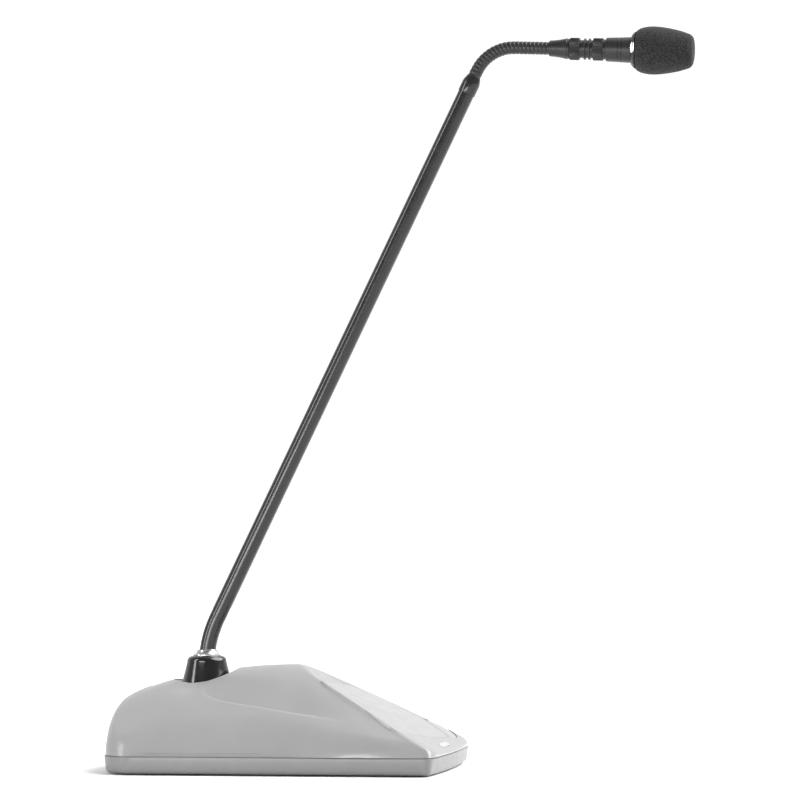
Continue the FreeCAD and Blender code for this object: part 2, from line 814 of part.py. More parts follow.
def cut_away(label, blank, tools):
    """Boolean cut of one or more tools from a blank."""
    tool = tools[0]
    if len(tools) > 1:
        tool = doc.addObject("Part::MultiFuse", label + "_holes")
        tool.Shapes = tools
    cut = doc.addObject("Part::Cut", label)
    cut.Base, cut.Tool = blank, tool
    return cut


def plate(label, low, high, holes):
    """Flat plate with round holes, made of primitives tied to the sheet."""
    sides = [high[i] - low[i] for i in range(3)]
    blank = bound(doc.addObject("Part::Box", label + "_blank"), Length=sides[0], Width=sides[1],
                  Height=sides[2])
    blank.Placement = at(*[plain(item) for item in low])
    tools = []
    for number, (x, y, radius) in enumerate(holes):
        place = at(plain(x), plain(y), plain(low[2]) - 1)
        tools.append(cylinder(f"{label}_hole_{number}", radius, sides[2] + 2, place))
    return keep(cut_away(label, blank, tools), label)


floor_top = size("foot_height") + size("tray_floor")
post_x = [size("post_rear_x"), size("post_front_x")]
post_y = [-size("post_y"), size("post_y")]
post_hole = size("post_diameter") / 2 + size("free_gap")
plate("ballast_plate",
      (-size("ballast_rear"), -size("ballast_half_width"), floor_top),
      (size("ballast_front"), size("ballast_half_width"), floor_top + size("ballast_thickness")),
      [(x, y, post_hole) for x in post_x for y in post_y])
board_screw_hole = size("board_screw_diameter") / 2 + size("seat_gap")
plate("circuit_board",
      (size("board_rear"), -size("board_half_width"), size("board_height")),
      (size("board_front"), size("board_half_width"), size("board_height") + size("board_thickness")),
      [(x, y, board_screw_hole) for x in post_x for y in post_y])


def screw(diameter, head, head_height, length, x, y, seat, up):
    """Cylinder-headed screw whose head rests at a height and whose shank points up or down."""
    way = 1 if up else -1
    base = Vector(x, y, seat)
    shank = Part.makeCylinder(diameter / 2, length, base, Vector(0, 0, way))
    cap = Part.makeCylinder(head / 2, head_height, base, Vector(0, 0, -way))
    return shank.fuse(cap).removeSplitter()


screw_seat = TRAY_BOTTOM + val("tray_screw_sink")
tray_cap = val("tray_screw_sink") - val("screw_clearance")
group("tray_screws", [screw(val("tray_screw_diameter"), val("tray_screw_head"), tray_cap,
                            val("tray_screw_length"), x, y, screw_seat, True)
                      for x, y in SCREW_SPOTS])
group("board_screws", [screw(val("board_screw_diameter"), 2 * val("board_screw_diameter"),
                             val("board_screw_head"), val("board_screw_length"), x, y, BOARD_TOP, False)
                       for x, y in POST_SPOTS])

plunger_hole = size("plunger_diameter") / 2 + size("running_gap")
half_side = size("switch_side") / 2
plate("switch_body",
      (size("switch_x") - half_side, -half_side, size("board_height") + size("board_thickness")),
      (size("switch_x") + half_side, half_side,
       size("board_height") + size("board_thickness") + size("switch_height")),
      [(size("switch_x"), ZERO, plunger_hole)])
plunger_foot = size("board_height") + size("board_thickness") + size("plunger_stroke")
plunger_length = size("switch_height") + size("plunger_height") - size("plunger_stroke")
keep(cylinder("switch_plunger", size("plunger_diameter") / 2, plunger_length,
              at(val("switch_x"), 0, plain(plunger_foot))), "switch_plunger")
led = bound(doc.addObject("Part::Box", "status_led"), Length=size("led_side"), Width=size("led_side"),
            Height=size("led_side") / 2)
keep(led, "status_led", at(val("led_x"), val("led_y"), BOARD_TOP))
pin_rod = cylinder("pad_pin", size("pad_pin_diameter") / 2, size("pad_pin_length"),
                   Placement(Vector(PIN.x, val("pad_pin_length") / 2, PIN.z),
                             Rotation(Vector(1, 0, 0), 90)))
keep(pin_rod, "pad_pin")

# ---------------------------------------------------------------- sockets


def ring_spots(circle):
    """Centres of the three contacts, one of them on the +Y side."""
    return [(circle / 2 * math.cos(math.radians(turn)), circle / 2 * math.sin(math.radians(turn)))
            for turn in (90, 210, 330)]


PIN_SPOTS = ring_spots(val("pin_circle"))
PLUG_RADIUS = size("plug_diameter") / 2
socket_bore = PLUG_RADIUS + size("running_gap")
socket_outer = socket_bore + size("socket_wall")
flange_top = size("recess_floor") - size("shell_wall")
flange_low = flange_top - size("socket_flange_thickness")
socket_low = size("recess_floor") - size("socket_depth") - size("socket_floor")
cup_floor = size("recess_floor") - size("socket_depth")
tail_hole = size("pin_circle") / 2 + size("contact_diameter") / 2 + size("free_gap")
revolved("socket_shell", [
    (tail_hole, socket_low), (socket_outer, socket_low), (socket_outer, flange_low),
    (size("socket_flange_radius"), flange_low), (size("socket_flange_radius"), flange_top),
    (socket_outer, flange_top), (socket_outer, size("recess_floor")),
    (socket_bore, size("recess_floor")), (socket_bore, cup_floor), (tail_hole, cup_floor)])


def drilled(label, radius, low, high, hole_radius, spots, placement=Placement()):
    """Round block with holes for the contacts, along its own Z axis."""
    block = cylinder(label + "_blank", radius, high - low, at(0, 0, plain(low)))
    tools = [cylinder(f"{label}_hole_{number}", hole_radius, high - low + 2,
                      at(x, y, plain(low) - 1)) for number, (x, y) in enumerate(spots)]
    return keep(cut_away(label, block, tools), label, placement)


def tubes(label, outer, inner, low, high, spots):
    """Group of contact sleeves."""
    floor = low + val("contact_floor")
    return group(label, [rod_shape(outer, low, high, x, y).cut(rod_shape(inner, floor, high, x, y))
                         for x, y in spots])


def pins(label, radius, tip, high, spots, placement=None):
    """Group of round contact pins with domed tips at the low end."""
    shapes = []
    for x, y in spots:
        shank = rod_shape(radius, tip + radius, high, x, y)
        dome = Part.makeSphere(radius, Vector(x, y, tip + radius))
        shapes.append(shank.fuse(dome).removeSplitter())
    feature = group(label, shapes)
    if placement is not None:
        feature.Placement = placement
    return feature


insert_radius = size("plug_bore") / 2 - size("seat_gap") * 2
insert_top = size("recess_floor") - size("free_gap")
contact_hole = size("contact_diameter") / 2 + size("seat_gap")
drilled("socket_insert", insert_radius, cup_floor, insert_top, contact_hole, PIN_SPOTS)
sleeve_bore = val("pin_diameter") / 2 + val("running_gap")
tubes("socket_contacts", val("contact_diameter") / 2, sleeve_bore,
      SOCKET_BOTTOM - val("contact_tail"), plain(insert_top), PIN_SPOTS)

panel_place = Placement(Vector(PANEL_X, 0, val("output_height")), Rotation(Vector(0, 1, 0), -90))
flange_out = size("output_flange_thickness")
cavity_floor = flange_out - size("output_cavity")
body_low = cavity_floor - size("output_insert_thickness")
half_flange = size("output_flange_side") / 2


def output_shell():
    """Square-flanged connector shell; its own +Z points out of the rear wall."""
    low, top = plain(body_low), plain(flange_out)
    half = plain(half_flange)
    flange = box_shape((-half, -half, 0), (half, half, top))
    flange = flange.makeFillet(val("output_flange_round"), upright_edges(flange))
    shell = flange.fuse(rod_shape(val("output_diameter") / 2, low, top))
    offset = val("output_screw_offset")
    cuts = [rod_shape(val("output_bore") / 2, low, top)]
    for way in (-1, 1):
        cuts.append(rod_shape(val("output_screw_diameter") / 2 + val("seat_gap"), 0, top,
                              way * offset, -way * offset))
    return shell.cut(cuts)


shell_feature = doc.addObject("Part::Feature", "output_shell")
shell_feature.Shape = output_shell().removeSplitter()
keep(shell_feature, "output_shell", panel_place)
output_insert_radius = size("output_bore") / 2 - size("seat_gap")
output_pin_hole = size("pin_diameter") / 2 + size("seat_gap")
drilled("output_insert", output_insert_radius, body_low, cavity_floor, output_pin_hole, PIN_SPOTS,
        panel_place)


def output_pins():
    """Three pins that stand in the connector's cavity, tips well below its rim."""
    tip = plain(flange_out) - val("output_pin_recess")
    shapes = []
    for x, y in PIN_SPOTS:
        radius = val("pin_diameter") / 2
        shank = rod_shape(radius, plain(body_low) - val("contact_tail"), tip - radius, x, y)
        shapes.append(shank.fuse(Part.makeSphere(radius, Vector(x, y, tip - radius))).removeSplitter())
    return shapes


group("output_pins", output_pins()).Placement = panel_place
offset = val("output_screw_offset")
output_screw_diameter = val("output_screw_diameter")
group("output_screws", [screw(output_screw_diameter, 2 * output_screw_diameter, val("output_screw_head"),
                              val("output_screw_length"), way * offset, -way * offset,
                              plain(flange_out), False)
                        for way in (-1, 1)]).Placement = panel_place

# ---------------------------------------------------------------- plug, boot and tube

TILT = math.radians(val("tube_tilt"))
DROOP = math.radians(val("head_droop"))
TUBE_WAY = Vector(math.sin(TILT), 0, math.cos(TILT))
HEAD_WAY = Vector(math.cos(DROOP), 0, -math.sin(DROOP))
CORNER = Vector(0, 0, val("tube_corner_height"))
NECK_START = CORNER + TUBE_WAY * val("tube_reach")


def along(point, way):
    """Placement whose own +Z points a way and whose own Y stays level."""
    return Placement(point, Rotation(Vector(0, 1, 0), math.degrees(math.atan2(way.x, way.z))))


def stem_path(low, end):
    """Straight foot, one bend and the long straight run of the tube's centre line."""
    tangent = val("tube_bend_radius") * math.tan(TILT / 2)
    bend_start = CORNER - Vector(0, 0, tangent)
    bend_end = CORNER + TUBE_WAY * tangent
    centre = bend_start + Vector(val("tube_bend_radius"), 0, 0)
    half = TILT / 2
    middle = centre + Vector(-math.cos(half), 0, math.sin(half)) * val("tube_bend_radius")
    run = CORNER + TUBE_WAY * (val("tube_reach") - end)
    return Part.Wire([line(Vector(0, 0, low), bend_start), arc(bend_start, middle, bend_end),
                      line(bend_end, run)])


def pipe(path, radius):
    """Round rod along a path that starts straight."""
    first = path.Edges[0]
    start = first.valueAt(first.FirstParameter)
    way = first.tangentAt(first.FirstParameter)
    section = Part.Wire(Part.makeCircle(radius, start, way))
    return path.makePipeShell([section], True, True)


plug_low = size("recess_floor") - size("plug_depth")
insert_low = size("recess_floor") + size("boot_lift")
plug_insert_top = insert_low + size("plug_insert_thickness")
plug_top = size("boot_cavity_height") - size("free_gap")
anchor_low = plug_top - size("anchor_height")
tube_hole = size("tube_diameter") / 2 + size("seat_gap")
revolved("plug_shell", tube_section(size("plug_bore") / 2, PLUG_RADIUS, plug_low, plug_top))
drilled("plug_insert", size("plug_bore") / 2 - size("seat_gap"), insert_low, plug_insert_top,
        size("pin_diameter") / 2 + size("seat_gap"), PIN_SPOTS)
pins("plug_pins", val("pin_diameter") / 2, plain(insert_low) - val("pin_length"),
     plain(plug_insert_top) + val("contact_tail"), PIN_SPOTS)
revolved("stem_anchor", tube_section(tube_hole, size("plug_bore") / 2 - size("seat_gap"),
                                     anchor_low, plug_top))
boot_cavity = PLUG_RADIUS + size("seat_gap")
boot_low = size("recess_floor") + size("boot_lift")
tube_path = stem_path(plain(anchor_low), val("ferrule_cap"))


def threaded_by_tube(label, corners):
    """Turned piece with the way of the bent tube cut through it."""
    way = doc.addObject("Part::Feature", label + "_way")
    way.Shape = pipe(tube_path, plain(tube_hole))
    return keep(cut_away(label, turned(label + "_blank", corners), [way]), label)


threaded_by_tube("plug_boot", [
    (boot_cavity, boot_low), (size("boot_foot_radius"), boot_low),
    (size("boot_shoulder_radius"), size("boot_shoulder_height")),
    (size("boot_top_radius"), size("boot_top_height"), size("boot_shoulder_round")),
    (ZERO, size("boot_top_height")), (ZERO, size("boot_cavity_height")),
    (boot_cavity, size("boot_cavity_height"))])
collar_low = size("boot_top_height")
collar_top = collar_low + size("collar_height")
threaded_by_tube("boot_collar", [
    (ZERO, collar_low), (size("collar_foot_radius"), collar_low),
    (size("collar_foot_radius"), collar_low + size("collar_lip")),
    (size("collar_top_radius"), collar_top, -size("collar_flare")), (ZERO, collar_top)])

tube_solid = pipe(tube_path, val("tube_diameter") / 2)
shaped("stem_tube", tube_solid.cut(pipe(tube_path, val("tube_diameter") / 2 - val("tube_wall"))))
lead_path = stem_path(plain(plug_insert_top), val("neck_root_depth"))
shaped("stem_lead", pipe(lead_path, val("lead_diameter") / 2))

ferrule_outer = tube_hole + size("ferrule_wall")
neck_radius = size("neck_diameter") / 2
neck_hole = neck_radius + size("seat_gap")
ferrule_cap = size("ferrule_length") - size("ferrule_cap")
revolved("tube_ferrule", [
    (tube_hole, ZERO), (ferrule_outer, ZERO), (ferrule_outer, size("ferrule_taper_start")),
    (neck_hole + size("ferrule_wall"), size("ferrule_length")), (neck_hole, size("ferrule_length")),
    (neck_hole, ferrule_cap + size("seat_gap")), (tube_hole, ferrule_cap + size("seat_gap"))],
    along(NECK_START - TUBE_WAY * val("ferrule_length"), TUBE_WAY))

# ---------------------------------------------------------------- flexible neck

bend_radius = val("neck_bend_radius")
BEND_START = NECK_START + TUBE_WAY * val("neck_first_joint")
BEND_CENTRE = BEND_START + Vector(math.cos(TILT), 0, -math.sin(TILT)) * bend_radius
START_HEADING = math.pi / 2 - TILT
BEND_LENGTH = bend_radius * (START_HEADING + DROOP)
NECK_LENGTH = BEND_LENGTH + val("neck_straight")


def neck_point(distance):
    """Point on the neck's centre line at a distance from its first joint."""
    swept = min(distance, BEND_LENGTH)
    heading = START_HEADING - swept / bend_radius
    spot = BEND_CENTRE + Vector(-math.sin(heading), 0, math.cos(heading)) * bend_radius
    return spot + HEAD_WAY * (distance - swept)


JOINT_COUNT = 10
JOINTS = [neck_point(val("neck_link") * number) for number in range(JOINT_COUNT)]
HEAD_START = neck_point(NECK_LENGTH)

gap = size("neck_joint_gap") / 2
link = size("neck_link")
ball = size("neck_ball") / 2
cup = ball + size("running_gap")
bore = size("neck_bore") / 2
valley = size("neck_valley") / 2
rib_step = size("neck_link") / 4
rib_half = size("neck_rib") / 2


def ball_end(centre):
    """Corners round the ball at a link's far end, from its root to the bore."""
    return [(ball.leg(gap), centre - gap), (bore, centre + ball.leg(bore), ball)]


def ribs(centres):
    """Corners of ribs at the given heights, from the low one to the high one."""
    corners = []
    for centre in centres:
        corners += [(valley, centre - rib_step / 2), (neck_radius, centre - rib_half),
                    (neck_radius, centre + rib_half), (valley, centre + rib_step / 2)]
    return corners


cup_mouth = (cup.leg(gap), gap, -cup)
cup_depth = (bore, cup.leg(bore))
link_section = [cup_mouth, (valley, gap)]
link_section += ribs([rib_step, rib_step * 3])
link_section += [(valley, link - gap)] + ball_end(link) + [cup_depth]
first = size("neck_first_joint")
root_section = [(bore, -size("neck_root_depth")), (valley, -size("neck_root_depth"))]
root_section += ribs([rib_step * 2 - rib_step / 2]) + [(valley, first - gap)] + ball_end(first)
tip_end = size("neck_tip_length")
tip_section = [cup_mouth, (valley, gap)] + ribs([rib_step, rib_step * 3])
tip_section += [(valley, tip_end), (bore, tip_end), cup_depth]

revolved("neck_root", root_section, along(NECK_START, TUBE_WAY))
for number in range(JOINT_COUNT - 1):
    way = JOINTS[number + 1] - JOINTS[number]
    revolved(f"neck_link_{number + 1}", link_section, along(JOINTS[number], way))
revolved("neck_tip", tip_section, along(JOINTS[-1], HEAD_WAY))

# ---------------------------------------------------------------- head, along its own axis

HEAD = along(HEAD_START, HEAD_WAY)
core = size("core_diameter") / 2
core_hole = core + size("seat_gap")
tail_end = size("tail_length")
step_radius = size("neck_down_diameter") / 2
core_bore = core - size("core_wall")
socket_end = size("tail_socket")
tail_bore = core_bore - size("tail_shoulder")
core_low = tail_end + size("tail_shoulder")
revolved("tail_cone", [
    (neck_hole, ZERO), (size("tail_start_diameter") / 2, ZERO),
    (size("tail_end_diameter") / 2, tail_end, size("tail_curve")), (step_radius, tail_end),
    (step_radius, core_low), (tail_bore, core_low), (tail_bore, socket_end), (neck_hole, socket_end)],
    HEAD)
barrel_low = size("barrel_start")
core_high = barrel_low - size("seat_gap") * 4
revolved("vent_core", tube_section(core_bore, core, core_low, core_high), HEAD)
ring_bore = core + size("running_gap")
ring_low = size("union_start")
ring_high = ring_low + size("union_length")
ring_outer = size("union_diameter") / 2
edge = size("ring_chamfer")
revolved("union_ring", [
    (ring_bore, ring_low), (ring_outer - edge, ring_low), (ring_outer, ring_low + edge),
    (ring_outer, ring_high - edge), (ring_outer - edge, ring_high), (ring_bore, ring_high)], HEAD)
disc_bore = plain(core_hole)
discs = []
for number in range(2):
    low = val("disc_start") + number * val("disc_pitch")
    high = low + val("disc_thickness")
    discs.append(rod_shape(val("disc_diameter") / 2, low, high).cut(rod_shape(disc_bore, low, high)))
group("vent_discs", discs).Placement = HEAD
front_low = size("front_ring_start")
front_high = front_low + size("front_ring_length")
front_outer = size("front_ring_diameter") / 2
revolved("front_ring", [
    (core_hole, front_low), (front_outer - edge, front_low), (front_outer, front_low + edge),
    (front_outer, front_high - edge), (front_outer - edge, front_high), (core_hole, front_high)], HEAD)
barrel_high = barrel_low + size("barrel_length")
barrel_rear = size("barrel_start_diameter") / 2
barrel_front = size("barrel_end_diameter") / 2
cavity = barrel_rear - size("barrel_wall")
groove = size("barrel_groove")
groove_low = barrel_low + size("groove_offset")
groove_next = groove_low + size("groove_pitch")
groove_radius = barrel_rear - size("seat_gap")
groove_outer = barrel_rear + size("barrel_swell")
cavity_low = barrel_low + size("barrel_step")
neck_low = front_high + size("seat_gap")
revolved("barrel", [
    (core_hole, neck_low), (step_radius, neck_low), (step_radius, barrel_low), (barrel_rear, barrel_low),
    (groove_outer, groove_low), (groove_radius, groove_low), (groove_radius, groove_low + groove),
    (groove_outer, groove_low + groove), (groove_outer, groove_next), (groove_radius, groove_next),
    (groove_radius, groove_next + groove), (groove_outer, groove_next + groove),
    (barrel_front, barrel_high), (cavity, barrel_high), (cavity, cavity_low), (core_bore, cavity_low),
    (core_bore, barrel_low), (core_hole, barrel_low)], HEAD)
grille_outer = size("grille_diameter") / 2
collar_hole = grille_outer + size("seat_gap")
collar_end = barrel_high + size("collar_length")
collar_start = size("collar_start_diameter") / 2
collar_rim = size("collar_end_diameter") / 2


def head_collar(extra):
    """Flared ring behind the windscreen; extra thickens its face."""
    low, high = plain(barrel_high), plain(collar_end)
    flare = Part.makeCone(plain(collar_start) + extra, plain(collar_rim) + extra, high - low,
                          Vector(0, 0, low))
    return flare.cut(rod_shape(plain(collar_hole), low, high))


def mark_column():
    """Oval column that runs out through the collar's side where the mark sits."""
    low = plain(barrel_high) + val("collar_length") / 2
    ellipse = Part.Ellipse(Vector(0, 0, 0), val("mark_width") / 2, val("mark_length") / 2).toShape()
    oval = Part.Face(Part.Wire(ellipse)).extrude(Vector(0, 0, plain(collar_rim) + BEYOND))
    oval.Placement = Placement(Vector(0, 0, low), Rotation(Vector(1, 0, 0), 90))
    return oval


mark_skin = head_collar(val("mark_proud")).cut(head_collar(-val("mark_depth")))
collar_mark = mark_skin.common(mark_column())
shaped("head_collar", head_collar(0).cut(collar_mark)).Placement = HEAD
shaped("collar_mark", collar_mark).Placement = HEAD

grille_low = barrel_high + size("seat_gap")
grille_high = barrel_high + size("grille_length")
grille_wall = size("grille_wall")
dome = size("grille_round")
revolved("head_grille", [
    (grille_outer - grille_wall, grille_low), (grille_outer, grille_low),
    (grille_outer, grille_high - dome), (grille_outer - dome, grille_high, dome),
    (ZERO, grille_high), (ZERO, grille_high - grille_wall),
    (grille_outer - dome, grille_high - grille_wall),
    (grille_outer - grille_wall, grille_high - dome, -(dome - grille_wall))], HEAD)
capsule_low = grille_high - size("capsule_gap") - size("capsule_length")
revolved("capsule", [
    (ZERO, capsule_low), (size("capsule_diameter") / 2, capsule_low),
    (size("capsule_diameter") / 2, capsule_low + size("capsule_length")),
    (ZERO, capsule_low + size("capsule_length"))], HEAD)
revolved("capsule_mount", [
    (size("capsule_diameter") / 2 + size("seat_gap"), capsule_low),
    (grille_outer - grille_wall - size("seat_gap"), capsule_low),
    (grille_outer - grille_wall - size("seat_gap"), capsule_low + size("capsule_seat")),
    (size("capsule_diameter") / 2 + size("seat_gap"), capsule_low + size("capsule_seat"))], HEAD)
preamp = bound(doc.addObject("Part::Box", "preamp_board"), Length=size("preamp_width"),
               Width=size("preamp_thickness"), Height=size("preamp_length"))
preamp_corner = Vector(-val("preamp_width") / 2, -val("preamp_thickness") / 2,
                       plain(barrel_low) + val("preamp_start"))
keep(preamp, "preamp_board", HEAD * Placement(preamp_corner, Rotation()))

foam_low = collar_end + size("free_gap")
foam_high = foam_low + size("foam_length")
foam_wide = foam_low + size("foam_wide_at")
foam_bore = grille_outer + size("free_gap")
foam_inside = grille_high + size("free_gap")
revolved("windscreen", [
    (foam_bore, foam_low), (size("foam_rear_diameter") / 2, foam_low),
    (size("foam_wide_diameter") / 2, foam_wide, size("foam_rear_curve")),
    (size("foam_front_diameter") / 2, foam_high - size("foam_nose_depth"), size("foam_front_curve")),
    (size("foam_tip_diameter") / 2, foam_high, size("foam_nose_curve")), (ZERO, foam_high),
    (ZERO, foam_inside), (foam_bore, foam_inside)], HEAD)

# ---------------------------------------------------------------- leads inside the base


def bent_lead(label, spots):
    """Inner lead through a few points, its corners rounded."""
    edges = []
    radius = val("lead_bend")
    here = Vector(*spots[0])
    for number in range(1, len(spots) - 1):
        corner, after = Vector(*spots[number]), Vector(*spots[number + 1])
        arrive = (corner - here).normalize()
        leave = (after - corner).normalize()
        turn = arrive.getAngle(leave)
        cut = radius * math.tan(turn / 2)
        start, end = corner - arrive * cut, corner + leave * cut
        inward = (leave - arrive).normalize()
        middle = corner + inward * (radius / math.cos(turn / 2) - radius)
        edges += [line(here, start), arc(start, middle, end)]
        here = end
    edges.append(line(here, Vector(*spots[-1])))
    return shaped(label, pipe(Part.Wire(edges), val("lead_diameter") / 2))


lead_height = BOARD_TOP + val("lead_rise")
lead_x = val("board_rear") + val("lead_inset")
bent_lead("socket_lead", [(0, 0, plain(cup_floor)), (0, 0, lead_height), (lead_x, 0, lead_height),
                          (lead_x, 0, BOARD_TOP)])
lead_y = val("lead_offset")
output_lead_x = PANEL_X - plain(body_low)
bent_lead("output_lead", [(output_lead_x, lead_y, lead_height), (lead_x, lead_y, lead_height),
                          (lead_x, lead_y, BOARD_TOP)])

# ---------------------------------------------------------------- checks and files

doc.recompute()
faults = []
for item in doc.Objects:
    if "Invalid" in item.State or "Error" in item.State:
        faults.append(f"{item.Name} failed to recompute")
for item in NODES:
    if item.Shape.isNull() or not item.Shape.isValid() or not item.Shape.Solids:
        faults.append(f"{item.Label} has no valid solid")
labels = [item.Label for item in NODES]
faults += [f"{label} is used twice" for label in set(labels) if labels.count(label) > 1]
if faults:
    raise RuntimeError("; ".join(faults))

os.makedirs("parts", exist_ok=True)
for item in NODES:
    item.Shape.exportStep(os.path.join("parts", item.Label + ".step"))
print(len(NODES), "parts written")
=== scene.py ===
import json
import math

import bmesh
import bpy
import numpy as np
from mathutils import Matrix, Vector


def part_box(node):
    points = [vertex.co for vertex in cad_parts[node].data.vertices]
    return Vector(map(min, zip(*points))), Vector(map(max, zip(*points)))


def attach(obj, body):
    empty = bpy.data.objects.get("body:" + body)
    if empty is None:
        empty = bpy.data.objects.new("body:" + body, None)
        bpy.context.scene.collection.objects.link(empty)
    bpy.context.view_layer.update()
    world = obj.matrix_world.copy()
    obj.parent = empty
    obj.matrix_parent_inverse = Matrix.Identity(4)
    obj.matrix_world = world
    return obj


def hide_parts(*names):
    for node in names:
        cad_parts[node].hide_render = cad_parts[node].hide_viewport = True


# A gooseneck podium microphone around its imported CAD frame. The modelling functions work in
# millimetres, in the row's frame (+X forward, +Z up), and new_object() turns them into metres.

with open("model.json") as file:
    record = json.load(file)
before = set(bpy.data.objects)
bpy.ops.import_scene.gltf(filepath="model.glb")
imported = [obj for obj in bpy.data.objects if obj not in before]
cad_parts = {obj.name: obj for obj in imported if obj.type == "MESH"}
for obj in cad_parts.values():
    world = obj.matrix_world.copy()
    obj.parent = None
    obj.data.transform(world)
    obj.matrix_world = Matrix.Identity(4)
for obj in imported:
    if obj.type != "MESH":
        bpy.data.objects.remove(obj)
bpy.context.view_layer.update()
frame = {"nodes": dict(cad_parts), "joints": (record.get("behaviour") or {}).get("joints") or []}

MM = 0.001
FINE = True


def low(node):
    """Lowest corner of a CAD node in millimetres."""
    return np.array(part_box(node)[0]) / MM


def high(node):
    """Highest corner of a CAD node in millimetres."""
    return np.array(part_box(node)[1]) / MM


def middle(node):
    """Middle of a CAD node's box in millimetres."""
    return (low(node) + high(node)) / 2


JOINTS = {joint["name"]: joint for joint in frame["joints"]}


def pivot(name):
    """A hinge's position in millimetres."""
    return np.array(JOINTS[name]["pos_m"]) / MM


# ---------- sizes of the desk base

REAR = low("upper_shell")[0] + 3.0
FRONT = high("upper_shell")[0]
HALF = high("upper_shell")[1]
SEAM = low("upper_shell")[2]
CREST = high("upper_shell")[2]
WALL = 2.4
FRONT_BOW = 2.5
REAR_BOW = 10.0
NOSE_HEIGHT = 10.8
SLOPE = math.radians(28.2)
SLOPE_NORMAL = np.array([math.sin(SLOPE), 0.0, math.cos(SLOPE)])
NOSE = np.array([FRONT, 0.0, NOSE_HEIGHT])
CROWN = 0.00865
RECESS_FLOOR = low("plug_boot")[2] - 0.35
RECESS_RADIUS = 14.6


# ---------- mesh helpers

MERGE = 0.004
MERGE_CLOSE = 0.002


def new_object(name, points, faces):
    """Mesh object in the scene from millimetre points."""
    mesh = bpy.data.meshes.new(name)
    mesh.from_pydata([tuple(point) for point in np.asarray(points, float) * MM], [], faces)
    piece = bpy.data.objects.new(name, mesh)
    bpy.context.scene.collection.objects.link(piece)
    return piece


def mesh_piece(name, points, faces, body, slot, paint, sharp=40.0, replaces=()):
    """Mesh object from millimetre points, smooth but for edges sharper than an angle."""
    piece = new_object(name, points, faces)
    finish_mesh(piece.data, sharp)
    return mount(piece, body, paint, replaces)


def mount(piece, body, paint, replaces=()):
    """Give a piece its material, its body and the CAD nodes that it stands for."""
    piece.data.materials.clear()
    piece.data.materials.append(paint)
    if body is not None:
        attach(piece, body)
    if replaces:
        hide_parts(*replaces)
    return piece


def finish_mesh(mesh, sharp):
    """Merge doubled points, turn the faces outward and mark the sharp edges."""
    work = bmesh.new()
    work.from_mesh(mesh)
    bmesh.ops.remove_doubles(work, verts=work.verts, dist=MERGE * MM)
    bmesh.ops.dissolve_degenerate(work, edges=work.edges, dist=MERGE_CLOSE * MM)
    bmesh.ops.recalc_face_normals(work, faces=work.faces)
    limit = math.radians(sharp)
    for face in work.faces:
        face.smooth = True
    for edge in work.edges:
        edge.smooth = len(edge.link_faces) == 2 and edge.calc_face_angle(0.0) < limit
    work.to_mesh(mesh)
    work.free()


def loop_faces(rows, columns, closed_rows=False, capped=False):
    """Quads between rings of points, each ring closed; capped fills the first and last ring."""
    faces = []
    for row in range(rows if closed_rows else rows - 1):
        for column in range(columns):
            after = (column + 1) % columns
            below, above = row * columns, ((row + 1) % rows) * columns
            faces.append((below + column, below + after, above + after, above + column))
    if capped:
        faces.append(tuple(range(columns))[::-1])
        faces.append(tuple(range((rows - 1) * columns, rows * columns)))
    return faces


def turned(profile, segments=96, ridge=None):
    """Solid of revolution about Z from (radius, height) corners, a closed section or one that
    starts and ends on the axis. ridge(angle, radius) may change a point's radius."""
    angles = np.arange(segments) * 2 * math.pi / segments
    points = []
    for radius, height in profile:
        for angle in angles:
            reach = radius if ridge is None else ridge(angle, radius)
            points.append((reach * math.cos(angle), reach * math.sin(angle), height))
    on_axis = profile[0][0] < 1e-6 and profile[-1][0] < 1e-6
    return np.array(points), loop_faces(len(profile), segments, closed_rows=not on_axis)


def joined(parts):
    """Several (points, faces) pairs as one."""
    points, faces = [], []
    for part_points, part_faces in parts:
        offset = sum(len(item) for item in points)
        points.append(np.asarray(part_points, float))
        faces += [tuple(index + offset for index in face) for face in part_faces]
    return np.concatenate(points), faces


def placed(shape, origin, way):
    """Points and faces moved from a frame whose +Z is the given way, with its own Y kept level."""
    points, faces = shape
    way = np.array(way, float) / np.linalg.norm(way)
    level = np.array([0.0, 1.0, 0.0])
    across = np.cross(level, way)
    basis = np.stack([across / np.linalg.norm(across), level, way])
    return np.asarray(points) @ basis + np.array(origin), faces


def arc(start, end, bulge, count):
    """Points of a circular arc between two section corners, without its start; bulge is how far
    its middle stands to the left of the way there."""
    start, end = np.array(start, float), np.array(end, float)
    chord = end - start
    length = np.linalg.norm(chord)
    left = np.array([-chord[1], chord[0]]) / length
    radius = (length ** 2 / 4 + bulge ** 2) / (2 * abs(bulge))
    centre = (start + end) / 2 + left * (bulge - math.copysign(radius, bulge))
    first = math.atan2(*(start - centre)[::-1])
    swing = math.atan2(*(end - centre)[::-1]) - first
    swing = (swing + math.pi) % (2 * math.pi) - math.pi
    return [tuple(centre + radius * np.array([math.cos(first + swing * step / count),
                                              math.sin(first + swing * step / count)]))
            for step in range(1, count + 1)]


def smooth_line(corners, count):
    """Smooth curve through corners that never loops, with its ends kept."""
    spots = [np.array(corner, float) for corner in corners]
    ways = [spots[1] - spots[0]] + [after - before for before, after in zip(spots, spots[2:])]
    ways = [way / np.linalg.norm(way) for way in ways + [spots[-1] - spots[-2]]]
    line = []
    for number, (start, end) in enumerate(zip(spots, spots[1:])):
        length = np.linalg.norm(end - start)
        for step in range(count):
            t = step / count
            line.append(start * (2 * t ** 3 - 3 * t ** 2 + 1) + end * (3 * t ** 2 - 2 * t ** 3)
                        + ways[number] * length * (t ** 3 - 2 * t ** 2 + t)
                        + ways[number + 1] * length * (t ** 3 - t ** 2))
    line.append(spots[-1])
    return line


